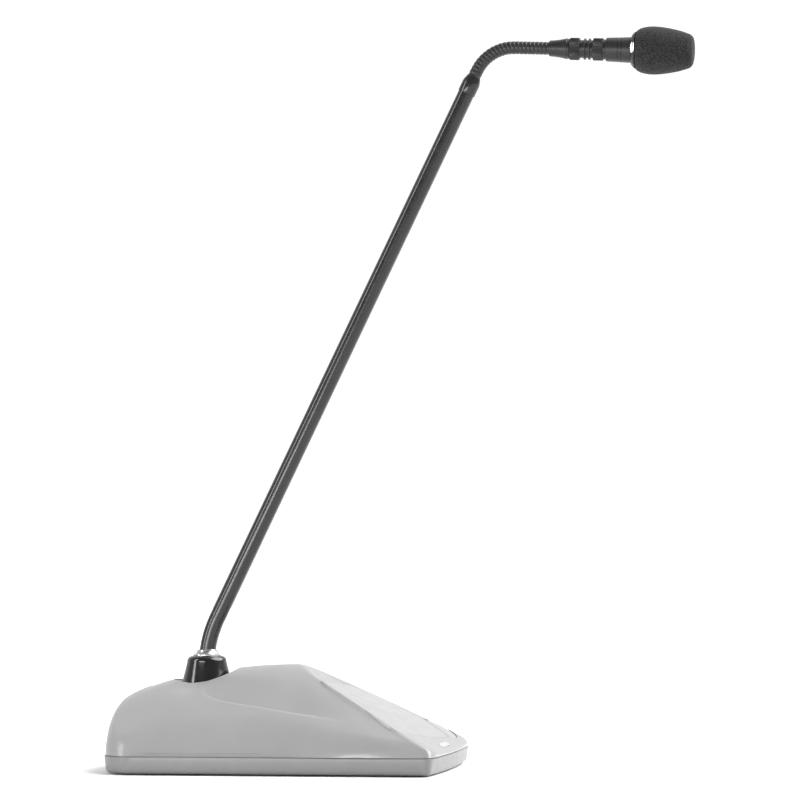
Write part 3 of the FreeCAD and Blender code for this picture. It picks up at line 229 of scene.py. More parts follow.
def unit(ways):
    """Rows of vectors, each at length 1."""
    return ways / np.linalg.norm(ways, axis=1)[:, None]


def prism(outline, below, above, place):
    """Closed prism between two depths; place(x, y, depth) gives its points."""
    count = len(outline)
    points = [place(x, y, below) for x, y in outline] + [place(x, y, above) for x, y in outline]
    faces = [tuple(range(count))[::-1], tuple(range(count, 2 * count))]
    faces += loop_faces(2, count)
    return np.array(points), faces


def box(low_corner, high_corner):
    """Closed box between two corners."""
    (x0, y0, z0), (x1, y1, z1) = low_corner, high_corner
    return prism([(x0, y0), (x1, y0), (x1, y1), (x0, y1)], z0, z1, lambda x, y, z: (x, y, z))


def carve(piece, cutters):
    """Cut closed (points, faces) solids out of a piece."""
    tool = new_object("cutter", *joined(cutters))
    work = bmesh.new()
    work.from_mesh(tool.data)
    bmesh.ops.remove_doubles(work, verts=work.verts, dist=MERGE_CLOSE * MM)
    bmesh.ops.recalc_face_normals(work, faces=work.faces)
    work.to_mesh(tool.data)
    work.free()
    cut = piece.modifiers.new("cut", "BOOLEAN")
    cut.operation = "DIFFERENCE"
    cut.solver = "EXACT"
    cut.object = tool
    graph = bpy.context.evaluated_depsgraph_get()
    result = bpy.data.meshes.new_from_object(piece.evaluated_get(graph))
    piece.modifiers.clear()
    piece.data = result
    bpy.data.objects.remove(tool)


# ---------- form of the upper shell

def smooth_max(first, second, radius):
    """Larger of two distances, with a round of the given radius where they meet."""
    reach = np.hypot(np.maximum(radius + first, 0), np.maximum(radius + second, 0))
    return np.minimum(-radius, np.maximum(first, second)) + reach


def soft_max(first, second, width):
    """Larger of two nearly parallel distances, eased over a width."""
    share = np.maximum(width - np.abs(first - second), 0) / width
    return np.maximum(first, second) + share * share * width / 4


def ramp(start, end, value):
    """Smooth step from 0 at start to 1 at end."""
    share = np.clip((value - start) / (end - start), 0, 1)
    return share * share * (3 - 2 * share)


BACK_CENTRE = np.array([REAR + 37.4, 15.8])
BACK_RADIUS = 38.15
BACK_TOP = np.array([REAR + 16.5, CREST - 7.9])
TOP_CENTRE = np.array([47.0, CREST - 270.2])
TOP_RADIUS = 270.25
FLANK_SPOT = (50.0, 22.3)
FLANK_WAY = np.array([27.4, 33.0]) / math.hypot(27.4, 33.0)
REAR_CORNER = 14.0
FRONT_CORNER = 3.0
FOOT_ROUND = 4.5
SIDE_BULGE = 10.5
BACK_ROUND = 7.5
SHOULDER_ROUND = 9.0
RIDGE_ROUND = 1.0
GROOVE_DEPTH = 0.45
GROOVE_FALL = 1.7
SCOOP_DEPTH = 1.7
SCOOP_WIDTH = 15
DIP_DEPTH = 2.2
DIP_SPOT = (-4.0, 19.0)
DIP_WIDTH = 8.0
DISH_DEPTH = 1.3


def facet_edge(y):
    """Where the pad's upper edge and the facet above it meet, seen from above."""
    return 67.9 + 0.12 * y + 0.00022 * y ** 3


def crease_line(x):
    """Distance from the middle at which the crease runs along each flank."""
    return 31.0 + 0.185 * x - 12.5 * np.exp(-np.maximum(x, -10) / 5.0)


def plan_distance(x, side):
    """Distance outside the base's outline, seen from above."""
    rear = REAR + REAR_BOW * (side / HALF) ** 2 - x
    front = x - FRONT + FRONT_BOW * (side / HALF) ** 2
    return smooth_max(smooth_max(side - HALF, rear, REAR_CORNER), front, FRONT_CORNER)


def back_distance(x, z):
    """Distance outside the rounded back."""
    outward = (BACK_TOP - BACK_CENTRE) / np.linalg.norm(BACK_TOP - BACK_CENTRE)
    across, up = x - BACK_CENTRE[0], z - BACK_CENTRE[1]
    beyond = across * outward[1] - up * outward[0] > 0
    flat = (x - BACK_TOP[0]) * outward[0] + (z - BACK_TOP[1]) * outward[1]
    return np.where(beyond, flat, np.hypot(across, up) - BACK_RADIUS)


def hull(points):
    """Distance outside the shell's outer form, near enough, for rows of points."""
    x, y, z = np.asarray(points).T
    side = np.abs(y)
    depth = -((x - NOSE[0]) * SLOPE_NORMAL[0] + (z - NOSE[2]) * SLOPE_NORMAL[2])
    lean = np.sqrt(1 + (2 * CROWN * side) ** 2)
    top = (np.hypot(x - TOP_CENTRE[0], z + CROWN * side ** 2 - TOP_CENTRE[1]) - TOP_RADIUS) / lean
    flank = (side - FLANK_SPOT[0]) * FLANK_WAY[0] + (z - FLANK_SPOT[1]) * FLANK_WAY[1]
    fade = np.where(depth < GROOVE_FALL, 0.9, 4.5)
    groove = GROOVE_DEPTH * np.exp(-((depth - GROOVE_FALL) / fade) ** 2)
    groove = groove * ramp(56, 66, x) * (1 - ramp(108, 118, x))
    foot_round = FOOT_ROUND + SIDE_BULGE * (1 - ramp(35, 100, x)) * ramp(-42, -12, x)
    foot = smooth_max(plan_distance(x, side), flank + groove, foot_round)
    above = crease_line(x) - side
    scoop = SCOOP_DEPTH * ramp(-0.3, 2.6, above) * np.exp(-(np.maximum(above, 0) / SCOOP_WIDTH) ** 2)
    scoop = scoop * ramp(-3, 9, x) * (1 - ramp(50, 84, x))
    dip = DIP_DEPTH * np.exp(-((x - DIP_SPOT[0]) ** 2 + (side - DIP_SPOT[1]) ** 2) / DIP_WIDTH ** 2)
    back = soft_max(back_distance(x, z), top, BACK_ROUND) + dip
    body = smooth_max(back, foot, SHOULDER_ROUND) + scoop
    beyond = facet_edge(y) - x
    rim = FLANK_SPOT[0] + (FLANK_SPOT[1] - z) * FLANK_WAY[1] / FLANK_WAY[0] - side
    dish = DISH_DEPTH * ramp(-0.2, 1.6, beyond) * (1 - ramp(3, 15, beyond)) * ramp(1.0, 14.0, rim)
    return smooth_max(body, dish - depth, RIDGE_ROUND)


HALVINGS = 24


def cast(field, starts, ways, reach):
    """Where rays leave a form: the field is negative at the starts."""
    near = np.zeros(len(starts))
    far = np.full(len(starts), float(reach))
    for _ in range(HALVINGS):
        half_way = (near + far) / 2
        inside = field(starts + ways * half_way[:, None]) < 0
        near = np.where(inside, half_way, near)
        far = np.where(inside, far, half_way)
    return starts + ways * ((near + far) / 2)[:, None]


SPINE = (-5.0, 85.0)
WALL_RUN = 50
ROOF_RUN = 60
RAY_REACH = 120


def outline_targets(step):
    """Spots round the base's bounding rectangle, about a step apart, from the front right."""
    corners = [(FRONT, -HALF), (FRONT, HALF), (REAR, HALF), (REAR, -HALF), (FRONT, -HALF)]
    spots = []
    for start, end in zip(corners, corners[1:]):
        count = round(math.dist(start, end) / step)
        spots += [np.array(start) + (np.array(end) - np.array(start)) * number / count
                  for number in range(count)]
    return np.array(spots)


def spine_spots(spots):
    """The spot on the base's spine that each outline spot is seen from."""
    return np.stack([np.clip(spots[:, 0], *SPINE), np.zeros(len(spots))], 1)


def dome(field, step, floor):
    """Rings of points up a form from its rim to its spine, as an array of rings."""
    spots = outline_targets(step)
    middles = spine_spots(spots)
    wall = round(WALL_RUN / step)
    roof = round(ROOF_RUN / step)
    top = CREST + 6
    rings = []
    for level in range(wall + roof + 1):
        share = min(level / wall, 1.0)
        pull = 1 - max(level - wall, 0) / roof
        height = floor + (top - floor) * share
        targets = np.column_stack([middles + (spots - middles) * pull,
                                   np.full(len(spots), height)])
        starts = np.column_stack([middles, np.full(len(spots), floor)])
        rings.append(cast(field, starts, unit(targets - starts), RAY_REACH))
    return rings


def shell_body():
    """Hollow shell: outer form, inner form a wall inside it, and the flat rim between."""
    step = 0.8 if FINE else 1.8
    outer = dome(hull, step, SEAM)
    inner = dome(lambda points: hull(points) + WALL, step, SEAM)[::3]
    columns = len(outer[0])
    points, faces = joined([(np.concatenate(rings), loop_faces(len(rings), columns))
                            for rings in (outer, inner)])
    start = len(outer) * columns
    faces += [(column, start + column, start + (column + 1) % columns, (column + 1) % columns)
              for column in range(columns)]
    return points, faces


# ---------- openings in the shell

def on_slope(x, y, rise):
    """Point over (x, y) on the slope, raised along its normal."""
    height = NOSE_HEIGHT + (FRONT - x) * math.tan(SLOPE)
    return np.array([x, y, height]) + SLOPE_NORMAL * rise


PAD_TOP_ENDS = (30.6, -21.0)
PAD_SEAM_ENDS = (-44.6, 25.0)
SEAM_GAP = 0.25
WINDOW_GAP = 0.12
BADGE_GAP = 0.1


def pad_seam(y):
    """The pad's front seam, seen from above."""
    return 118.4 - 0.00198 * (30 - y) ** 2


def pad_outline():
    """The pad seen from above: ridge side, bowed front seam, tip, far side and swept top."""
    line = [(facet_edge(y), y) for y in np.linspace(*PAD_TOP_ENDS, 26)]
    line += smooth_line([(65.2, -22.5), (83.7, -34.5), (101.2, -45.8), (104.8, -47.2), (107.5, -45.1)], 8)
    line += [(pad_seam(y), y) for y in np.linspace(*PAD_SEAM_ENDS, 40)]
    line += smooth_line([(118.4, 25.5), (118.3, 26.4), (117.6, 27.1), (110.0, 32.9), (103.4, 38.0)], 5)
    return line + smooth_line([(102.6, 38.6), (101.6, 38.6), (92.0, 35.2), (80.9, 31.1)], 5)


def window_outline():
    """The crescent window beside the pad's tip."""
    line = smooth_line([(118.8, 27.2), (120.6, 35.0), (119.6, 43.6), (114.6, 50.8), (108.6, 50.6),
                        (104.6, 45.2), (103.4, 40.2)], 8)
    return line + smooth_line([(104.2, 39.0), (110.8, 33.5), (118.0, 27.6)], 6)[:-1]


def grown(outline, amount):
    """Closed outline moved outward by an amount."""
    spots = np.array(outline)
    before, after = np.roll(spots, 1, 0), np.roll(spots, -1, 0)
    way = unit(after - before)
    outward = np.stack([way[:, 1], -way[:, 0]], 1)
    area = np.sum(spots[:, 0] * after[:, 1] - after[:, 0] * spots[:, 1])
    return [tuple(spot) for spot in spots + outward * amount * math.copysign(1, area)]


BADGE_SPOT = middle("blank_badge")[:2]
BADGE_HALF = (1.35, (high("blank_badge")[1] - low("blank_badge")[1]) / 2)


def badge_outline(grow=0.0):
    """Rectangle with rounded ends."""
    across, along = BADGE_HALF[0] + grow, BADGE_HALF[1] + grow
    corner = 0.6
    line = []
    for x_way, y_way, first in ((1, 1, 0), (-1, 1, 90), (-1, -1, 180), (1, -1, 270)):
        for turn in range(0, 91, 18):
            angle = math.radians(first + turn)
            line.append((BADGE_SPOT[0] + x_way * (across - corner) + corner * math.cos(angle),
                         BADGE_SPOT[1] + y_way * (along - corner) + corner * math.sin(angle)))
    return line


RIM_FLARE = 1.5
MOUTH_RADIUS = 17.2 + RIM_FLARE
CUP_DRAFT = 0.3
CUP_GAP = 0.03
CUP_BORE = high("socket_shell")[0] - 4.0
CUP_WALL = 1.2
RECESS_TURNS = 144
RECESS_ANGLES = np.arange(RECESS_TURNS) * 2 * math.pi / RECESS_TURNS
NEAR_AXIS = 0.01


def mouth_heights():
    """Heights of the shell's outer form round the mouth of the plug's recess."""
    heights = []
    for angle in RECESS_ANGLES:
        start = np.array([[MOUTH_RADIUS * math.cos(angle), MOUTH_RADIUS * math.sin(angle), SEAM]])
        heights.append(cast(hull, start, np.array([[0.0, 0.0, 1.0]]), 60)[0][2])
    return np.array(heights)


def cup_radius(height):
    """Inner radius of the recess at a height."""
    return RECESS_RADIUS + CUP_DRAFT * (height - RECESS_FLOOR)


def around_plug(rings, closed_rows=False, capped=False):
    """Mesh of rings round the plug's axis, each from one (radius, height) or one for every turn."""
    points = []
    for ring in rings:
        for angle, (radius, height) in zip(RECESS_ANGLES, np.broadcast_to(ring, (RECESS_TURNS, 2))):
            points.append((radius * math.cos(angle), radius * math.sin(angle), height))
    return np.array(points), loop_faces(len(rings), RECESS_TURNS, closed_rows, capped)


def recess_cutter():
    """Cup-shaped cutter whose mouth flares into the shell's outer form all round."""
    heights = np.maximum(mouth_heights(), RECESS_FLOOR + 1.2)
    flare = np.minimum(RIM_FLARE, heights - RECESS_FLOOR - 0.4)
    foot = cup_radius(heights - flare)
    rings = [(NEAR_AXIS, RECESS_FLOOR), (RECESS_RADIUS, RECESS_FLOOR)]
    for turn in range(0, 91, 15):
        angle = math.radians(turn)
        rings.append(np.stack([foot + flare * (1 - math.cos(angle)),
                               heights - flare + flare * math.sin(angle)], 1))
    rings += [np.stack([foot + flare + 0.2, heights + 14], 1), (NEAR_AXIS, CREST + 20)]
    return around_plug(rings, capped=True)


def recess_cup():
    """Wall and floor of the plug recess, which hang inside the shell."""
    rims = np.maximum(mouth_heights() - 2.0, RECESS_FLOOR + 0.3)
    rings = [(CUP_BORE, RECESS_FLOOR), (RECESS_RADIUS - 0.8, RECESS_FLOOR),
             (RECESS_RADIUS + CUP_GAP, RECESS_FLOOR + 0.25),
             np.stack([cup_radius(rims) + CUP_GAP, rims], 1),
             np.stack([cup_radius(rims) + CUP_WALL, rims], 1),
             (RECESS_RADIUS + 2.0, RECESS_FLOOR - WALL), (CUP_BORE, RECESS_FLOOR - WALL)]
    return around_plug(rings, closed_rows=True)


PANEL_X = low("output_shell")[0] + 1.6
PANEL_HALF = 17.0
PANEL_LOW = SEAM + 1.2
PANEL_TOP = high("output_shell")[2] + 0.35
PANEL_THICK = 1.6
OUTLET_HEIGHT = middle("output_shell")[2]
OUTLET_BORE = 10.05


def panel_cutter():
    """Block that opens the rear recess."""
    return box((REAR - 5, -PANEL_HALF, PANEL_LOW), (PANEL_X, PANEL_HALF, PANEL_TOP))


def panel_box():
    """Lining of the rear recess: two side walls and the panel behind the outlet."""
    parts = []
    heights = np.linspace(PANEL_LOW, PANEL_TOP, 16)
    outside = PANEL_HALF + PANEL_THICK
    starts = np.column_stack([np.full(16, -20.0), np.full(16, outside), heights])
    skin = cast(hull, starts, np.tile([-1.0, 0.0, 0.0], (16, 1)), 60)[:, 0] + 0.8
    edge = [(min(x, PANEL_X), height) for x, height in zip(skin, heights)]
    edge += [(PANEL_X + PANEL_THICK, PANEL_TOP), (PANEL_X + PANEL_THICK, PANEL_LOW)]
    for side in (-1, 1):
        parts.append(prism(edge, side * (PANEL_HALF + 0.02), side * outside,
                           lambda x, height, y: (x, y, height)))
    ring = [(OUTLET_BORE * math.cos(math.radians(turn)), OUTLET_BORE * math.sin(math.radians(turn)))
            for turn in range(0, 360, 6)]
    half_height = (PANEL_TOP - PANEL_LOW) / 2 + 1.0
    frame_line = []
    for across, up in ring:
        scale = min(outside / max(abs(across), 1e-6), half_height / max(abs(up), 1e-6))
        frame_line.append((across * scale, up * scale))
    mid_height = (PANEL_LOW + PANEL_TOP) / 2
    hole = [(across, OUTLET_HEIGHT + up) for across, up in ring]
    rim = [(across, mid_height + up) for across, up in frame_line]
    points = [(x, y, z) for x in (PANEL_X, PANEL_X + PANEL_THICK) for y, z in hole + rim]
    count = len(ring)
    faces = []
    for number in range(count):
        after = (number + 1) % count
        for start, end in ((0, 1), (3, 2), (2, 0), (1, 3)):
            faces.append((start * count + number, start * count + after,
                          end * count + after, end * count + number))
    parts.append((np.array(points), faces))
    return joined(parts)


# ---------- materials

class Paint:
    """A node material on object coordinates, which are metres in the row's frame."""

    def __init__(self, name, **sockets):
        self.material = bpy.data.materials.new(name)
        self.material.use_nodes = True
        tree = self.material.node_tree
        self.nodes, self.links = tree.nodes, tree.links
        self.shader = tree.nodes["Principled BSDF"]
        for socket, value in sockets.items():
            self.shader.inputs[socket.replace("_", " ")].default_value = value
        self.place = self.add("ShaderNodeTexCoord").outputs["Object"]

    def add(self, kind, **inputs):
        """New node with values or links on its inputs."""
        node = self.nodes.new(kind)
        for name, value in inputs.items():
            socket = node.inputs[name.replace("_", " ")]
            if hasattr(value, "is_output"):
                self.links.new(value, socket)
            else:
                socket.default_value = value
        return node

    def noise(self, grain, detail=3.0, roughness=0.55, stretch=None):
        """Noise whose features are about a grain in millimetres."""
        place = self.place
        if stretch is not None:
            place = self.add("ShaderNodeMapping", Vector=place, Scale=stretch).outputs["Vector"]
        node = self.add("ShaderNodeTexNoise", Vector=place, Scale=1000.0 / grain, Detail=detail,
                        Roughness=roughness)
        return node.outputs["Fac"]

    def cells(self, grain, randomness=1.0):
        """Distances in cells about a grain in millimetres."""
        node = self.add("ShaderNodeTexVoronoi", Vector=self.place, Scale=1000.0 / grain,
                        Randomness=randomness)
        return node.outputs["Distance"]

    def product(self, first, second):
        """Two values multiplied."""
        node = self.add("ShaderNodeMath", Value=first)
        node.operation = "MULTIPLY"
        self.links.new(second, node.inputs[1])
        return node.outputs[0]

    def colours(self, source, dark, light, start=0.3, end=0.7):
        """Base colour from dark to light as a value goes from start to end."""
        node = self.add("ShaderNodeValToRGB", Fac=source)
        node.color_ramp.elements[0].position = start
        node.color_ramp.elements[1].position = end
        node.color_ramp.elements[0].color = (*dark, 1)
        node.color_ramp.elements[1].color = (*light, 1)
        self.links.new(node.outputs["Color"], self.shader.inputs["Base Color"])

    def rough(self, source, low_value, high_value):
        """Roughness between two values as a noise goes from 0.3 to 0.7."""
        node = self.add("ShaderNodeMapRange", Value=source, From_Min=0.3, From_Max=0.7,
                        To_Min=low_value, To_Max=high_value)
        self.links.new(node.outputs["Result"], self.shader.inputs["Roughness"])

    def bump(self, source, depth, strength):
        """Bump of a depth in millimetres."""
        node = self.add("ShaderNodeBump", Height=source, Strength=strength, Distance=depth * MM)
        previous = self.shader.inputs["Normal"].links
        if previous:
            self.links.new(previous[0].from_socket, node.inputs["Normal"])
        self.links.new(node.outputs["Normal"], self.shader.inputs["Normal"])


def grey(level, tint=0.01):
    """A grey with a touch of blue."""
    return (level, level, level * (1 + tint))


def lacquer(name, level, spread, roughness, coat=0.25):
    """Sprayed silver-grey finish: fine sparkle, faint clouds and orange peel."""
    paint = Paint(name, Coat_Weight=coat, Coat_Roughness=0.18)
    sparkling = paint.product(paint.noise(0.22, 2.0, 0.7), paint.noise(26.0, 3.0))
    paint.colours(sparkling, grey(level - spread), grey(level + spread), 0.12, 0.42)
    paint.rough(paint.noise(7.0, 4.0), roughness - 0.04, roughness + 0.06)
    paint.bump(paint.noise(0.9, 2.0), 0.02, 0.35)
    return paint.material


def black_finish(name, level, roughness, coat=0.0):
    """Black enamel with faint handling marks."""
    paint = Paint(name, Coat_Weight=coat, Coat_Roughness=0.08, Specular_IOR_Level=0.35)
    paint.colours(paint.noise(9.0, 5.0), grey(level * 0.8), grey(level * 1.25))
    paint.rough(paint.noise(3.2, 6.0, 0.65), roughness - 0.04, roughness + 0.08)
    paint.bump(paint.noise(2.5, 3.0), 0.001, 0.5)
    return paint.material


def metal(name, level, roughness, stretch=(1, 1, 12), spread=0.05):
    """Bare metal with fine drawn lines."""
    paint = Paint(name, Metallic=1.0)
    lines = paint.noise(0.5, 4.0, 0.6, stretch)
    paint.colours(lines, grey(level - spread), grey(level + spread))
    paint.rough(lines, roughness - 0.06, roughness + 0.08)
    paint.bump(lines, 0.006, 0.4)
    return paint.material


def plastic(name, colour, roughness):
    """Moulded plastic with a spark-eroded grain."""
    paint = Paint(name)
    dark = tuple(channel * 0.86 for channel in colour)
    light = tuple(min(channel * 1.12, 1.0) for channel in colour)
    paint.colours(paint.noise(5.0, 4.0), dark, light)
    paint.rough(paint.noise(1.4, 3.0), roughness - 0.05, roughness + 0.08)
    paint.bump(paint.noise(0.35, 2.0), 0.03, 0.5)
    return paint.material


def rubber(name, level):
    """Moulded rubber sheet with a pebbled face."""
    paint = Paint(name, Roughness=0.85)
    paint.colours(paint.noise(4.0, 5.0), grey(level * 0.75), grey(level * 1.4))
    paint.rough(paint.noise(1.0, 3.0), 0.72, 0.92)
    paint.bump(paint.cells(1.1), 0.12, 0.6)
    return paint.material


def foam_skin(name):
    """Open-cell foam: dark pores between lighter struts, the pores' darkness a painted shade in the
    cavities.
    """
    paint = Paint(name, Roughness=0.95, Sheen_Weight=0.04, Sheen_Roughness=0.6, Specular_IOR_Level=0.2)
    pores = paint.cells(0.75)
    patches = paint.noise(1.3, 5.0, 0.7)
    # Darker at the cell centres: painted shade inside the foam's open cells.
    paint.colours(paint.product(pores, patches), grey(0.004), grey(0.026), 0.08, 0.42)
    paint.rough(patches, 0.88, 1.0)
    paint.bump(pores, 0.2, 0.7)
    paint.bump(patches, 0.2, 0.6)
    return paint.material


def circuit_laminate(name):
    """Green solder mask over faint copper runs."""
    paint = Paint(name, Coat_Weight=0.3)
    runs = paint.add("ShaderNodeTexBrick", Vector=paint.place, Scale=420.0).outputs["Fac"]
    paint.colours(runs, (0.018, 0.11, 0.045), (0.03, 0.19, 0.07), 0.0, 1.0)
    paint.rough(paint.noise(2.0), 0.3, 0.5)
    paint.bump(runs, 0.03, 0.5)
    return paint.material


SHELL_PAINT = lacquer("silver_grey_paint", 0.205, 0.01, 0.36)
TRAY_PAINT = lacquer("tray_grey_paint", 0.14, 0.007, 0.45, 0.15)
# The pad's grey is a little lighter than the shell's: painted light that brightens the lit slope.
LIT_PAD_PAINT = lacquer("pad_grey_with_painted_light", 0.215, 0.01, 0.32, 0.3)
WINDOW_PAINT = lacquer("window_grey", 0.19, 0.008, 0.24, 0.5)
STEM_PAINT = black_finish("black_enamel", 0.010, 0.22, 0.15)
NECK_PAINT = black_finish("neck_black", 0.014, 0.34)
HEAD_PAINT = black_finish("head_black", 0.012, 0.38)
BOOT_PAINT = black_finish("boot_black", 0.006, 0.17, 0.3)
CHROME = metal("collar_chrome", 0.5, 0.24, (1, 1, 20), 0.03)
STEEL = metal("plain_steel", 0.55, 0.3)
NICKEL = metal("nickel_plate", 0.5, 0.26, (8, 8, 1))
BADGE_METAL = metal("badge_brushed", 0.62, 0.36, (14, 1, 14), 0.06)
FOAM_SKIN = foam_skin("open_cell_foam")


def brass():
    """Gold-plated brass."""
    paint = Paint("gold_plated_contacts", Metallic=1.0)
    lines = paint.noise(0.4, 3.0)
    paint.colours(lines, (0.66, 0.47, 0.19), (0.83, 0.62, 0.29))
    paint.rough(lines, 0.18, 0.32)
    paint.bump(lines, 0.005, 0.4)
    return paint.material


def glowing_white_enamel():
    """Glossy white enamel with a faint painted glow: it gives off light though it is no lamp."""
    paint = Paint("glowing_white_enamel", Coat_Weight=0.4, Emission_Color=(1, 1, 1, 1), Emission_Strength=0.3)
    paint.colours(paint.noise(0.6), grey(0.80), grey(0.86))
    paint.rough(paint.noise(0.5), 0.3, 0.4)
    paint.bump(paint.noise(0.3), 0.01, 0.3)
    return paint.material


def mesh_sheet():
    """Blackened sheet with rows of small holes, painted as near-black spots: painted shade where the holes
    are.
    """
    paint = Paint("blackened_mesh", Metallic=0.8)
    holes = paint.cells(1.0, 0.0)
    # Near-black spots at the cell centres are painted shade standing in for the holes.
    paint.colours(holes, grey(0.01), grey(0.12), 0.25, 0.45)
    paint.rough(holes, 0.35, 0.6)
    paint.bump(holes, 0.2, 0.7)
    return paint.material


def led_lens():
    """Red lens of the status light."""
    paint = Paint("red_lens", Coat_Weight=0.6, Transmission_Weight=0.3)
    paint.colours(paint.noise(0.7), (0.5, 0.02, 0.015), (0.68, 0.05, 0.03))
    paint.rough(paint.noise(0.5), 0.12, 0.2)
    return paint.material


NODE_PAINTS = [
    (rubber("grip_rubber", 0.02), ["grip_pad"]),
    (metal("zinc_plate", 0.42, 0.42, (1, 1, 1), 0.08), ["ballast_plate"]),
    (circuit_laminate("board_green"), ["circuit_board"]),
    (circuit_laminate("preamp_green"), ["preamp_board"]),
    (STEEL, ["tray_screws", "board_screws", "output_screws", "pad_pin", "pad_spring", "stem_anchor",
             "capsule"]),
    (plastic("switch_nylon", (0.02, 0.02, 0.022), 0.5), ["switch_body"]),
    (plastic("plunger_nylon", (0.35, 0.35, 0.34), 0.45), ["switch_plunger"]),
    (led_lens(), ["status_led"]),
    (NICKEL, ["socket_shell", "output_shell", "plug_shell"]),
    (plastic("insulator_black", (0.03, 0.03, 0.032), 0.5),
     ["socket_insert", "output_insert", "plug_insert", "capsule_mount"]),
    (brass(), ["socket_contacts", "output_pins", "plug_pins"]),
    (mesh_sheet(), ["head_grille"]),
    (rubber("lead_rubber", 0.02), ["stem_lead", "socket_lead", "output_lead"]),
]
for paint, nodes in NODE_PAINTS:
    for node in nodes:
        mesh = frame["nodes"][node].data
        mesh.materials.clear()
        mesh.materials.append(paint)

# ---------- desk base

points, faces = shell_body()
shell = mesh_piece("shell_skin", points, faces, None, "base_shell", SHELL_PAINT)
cutters = [recess_cutter(), panel_cutter()]
cutters.append(prism(grown(pad_outline(), SEAM_GAP), -12.0, 6.0, on_slope))
cutters.append(prism(grown(window_outline(), WINDOW_GAP), -12.0, 5.5, on_slope))
cutters.append(prism(badge_outline(BADGE_GAP), -0.5, 5.0, on_slope))
carve(shell, cutters)
inner_parts = new_object("shell_inside", *joined([recess_cup(), panel_box()]))
finish_mesh(inner_parts.data, 40.0)
work = bmesh.new()
work.from_mesh(shell.data)
work.from_mesh(inner_parts.data)
work.to_mesh(shell.data)
work.free()
bpy.data.objects.remove(inner_parts)
finish_mesh(shell.data, 42.0)
mount(shell, "base", SHELL_PAINT, ["upper_shell"])


def domed_plate(outline, centre, thickness, crown, edge, sink=0.0):
    """Plate on the slope inside an outline: a low crown, rounded edges and a flat underside."""
    line = np.array(outline)
    centre = np.array(centre)
    reach = np.linalg.norm(line - centre, axis=1)
    rings = [(0.0, -thickness), (0.0, -thickness * 0.5)]
    rings += [(inset * edge, -drop * edge)
              for inset, drop in ((0, 1), (0.08, 0.62), (0.3, 0.29), (0.62, 0.08), (1, 0))]
    points = []
    for inset, rise in rings:
        share = 1 - inset / reach
        spots = centre + (line - centre) * share[:, None]
        points += [on_slope(x, y, rise - sink) for x, y in spots]
    shares = np.linspace(1, 0, 14 if FINE else 8)[1:]
    for share in shares:
        inner = (1 - edge / reach) * share
        spots = centre + (line - centre) * inner[:, None]
        rise = crown * (1 - share ** 2)
        points += [on_slope(x, y, rise - sink) for x, y in spots]
    total = len(rings) + len(shares)
    faces = loop_faces(total, len(line))
    faces.append(tuple(range(len(line)))[::-1])
    return np.array(points), faces


def rod(radius, x, y, z_low, z_high):
    """Upright closed cylinder."""
    points, faces = turned([(0, z_low), (radius, z_low), (radius, z_high), (0, z_high)], 40)
    return points + np.array([x, y, 0.0]), faces


PAD_THICK = 2.2
PIN_X = pivot("pad_press")[0]
LUG_HALF = 7.6
LUG_LOW = -PAD_THICK - 5.2
POST_RADIUS = 2.5
POST_RISE = -1.6


def lug(rear, above):
    """Block under the pad, from a rear edge to the lug's front."""
    front = PIN_X + 16.0
    outline = [(rear, -LUG_HALF), (front, -LUG_HALF), (front, LUG_HALF), (rear, LUG_HALF)]
    return prism(outline, LUG_LOW, above, on_slope)


def post(x, y, foot):
    """Round post from the pad's underside down to a height."""
    return rod(POST_RADIUS, x, y, foot, on_slope(x, 0, POST_RISE)[2])


PLUNGER = middle("switch_plunger")
SPRING = middle("pad_spring")
pad_parts = [domed_plate(pad_outline(), (94.0, -2.0), PAD_THICK, 0.45, 0.28),
             lug(PIN_X - 0.3, -3.0), lug(76.0, -1.2),
             post(PLUNGER[0], 0, high("switch_plunger")[2] + 0.3),
             post(SPRING[0], SPRING[1], high("pad_spring")[2] + 0.01)]
mesh_piece("talk_bar", *joined(pad_parts), "pad", "pad_plastic", LIT_PAD_PAINT, 42, ["talk_pad"])
mesh_piece("crescent_window", *domed_plate(window_outline(), (112.0, 41.5), 1.8, 0.3, 0.35, 0.25),
           "base", "window_plastic", WINDOW_PAINT, 42, ["status_window"])
mesh_piece("plain_badge", *domed_plate(badge_outline(), BADGE_SPOT, 0.8, 0.0, 0.12, -0.28),
           "base", "badge_metal", BADGE_METAL, 42, ["blank_badge"])


def tray_ring(inset, height, step):
    """Closed ring of the base's outline, inset, at a height."""
    spots = outline_targets(step)
    middles = spine_spots(spots)
    ways = unit(np.column_stack([spots - middles, np.zeros(len(spots))]))
    starts = np.column_stack([middles, np.full(len(spots), height)])
    return cast(lambda rows: plan_distance(rows[:, 0], np.abs(rows[:, 1])) + inset, starts, ways,
                RAY_REACH)


def tray():
    """Shallow tray: rounded foot, drafted wall, lit top edge, inner wall and floor."""
    bottom = low("bottom_tray")[2]
    top = SEAM - 0.28
    floor = bottom + 2.2
    draft = 0.9
    foot = 2.0
    lip, lip_rise, inner = 2.5, 2.0, 3.4
    levels = [(draft + foot, bottom)]
    levels += [(draft + foot - foot * math.sin(math.radians(turn)),
                bottom + foot - foot * math.cos(math.radians(turn))) for turn in range(15, 91, 15)]
    levels += [(0.05, top - 0.5), (0.15, top - 0.15), (0.42, top), (lip, top), (lip, top + lip_rise),
               (inner, top + lip_rise), (inner, floor)]
    step = 1.0 if FINE else 2.5
    rings = [tray_ring(inset, height, step) for inset, height in levels]
    return np.concatenate(rings), loop_faces(len(rings), len(rings[0]), capped=True)


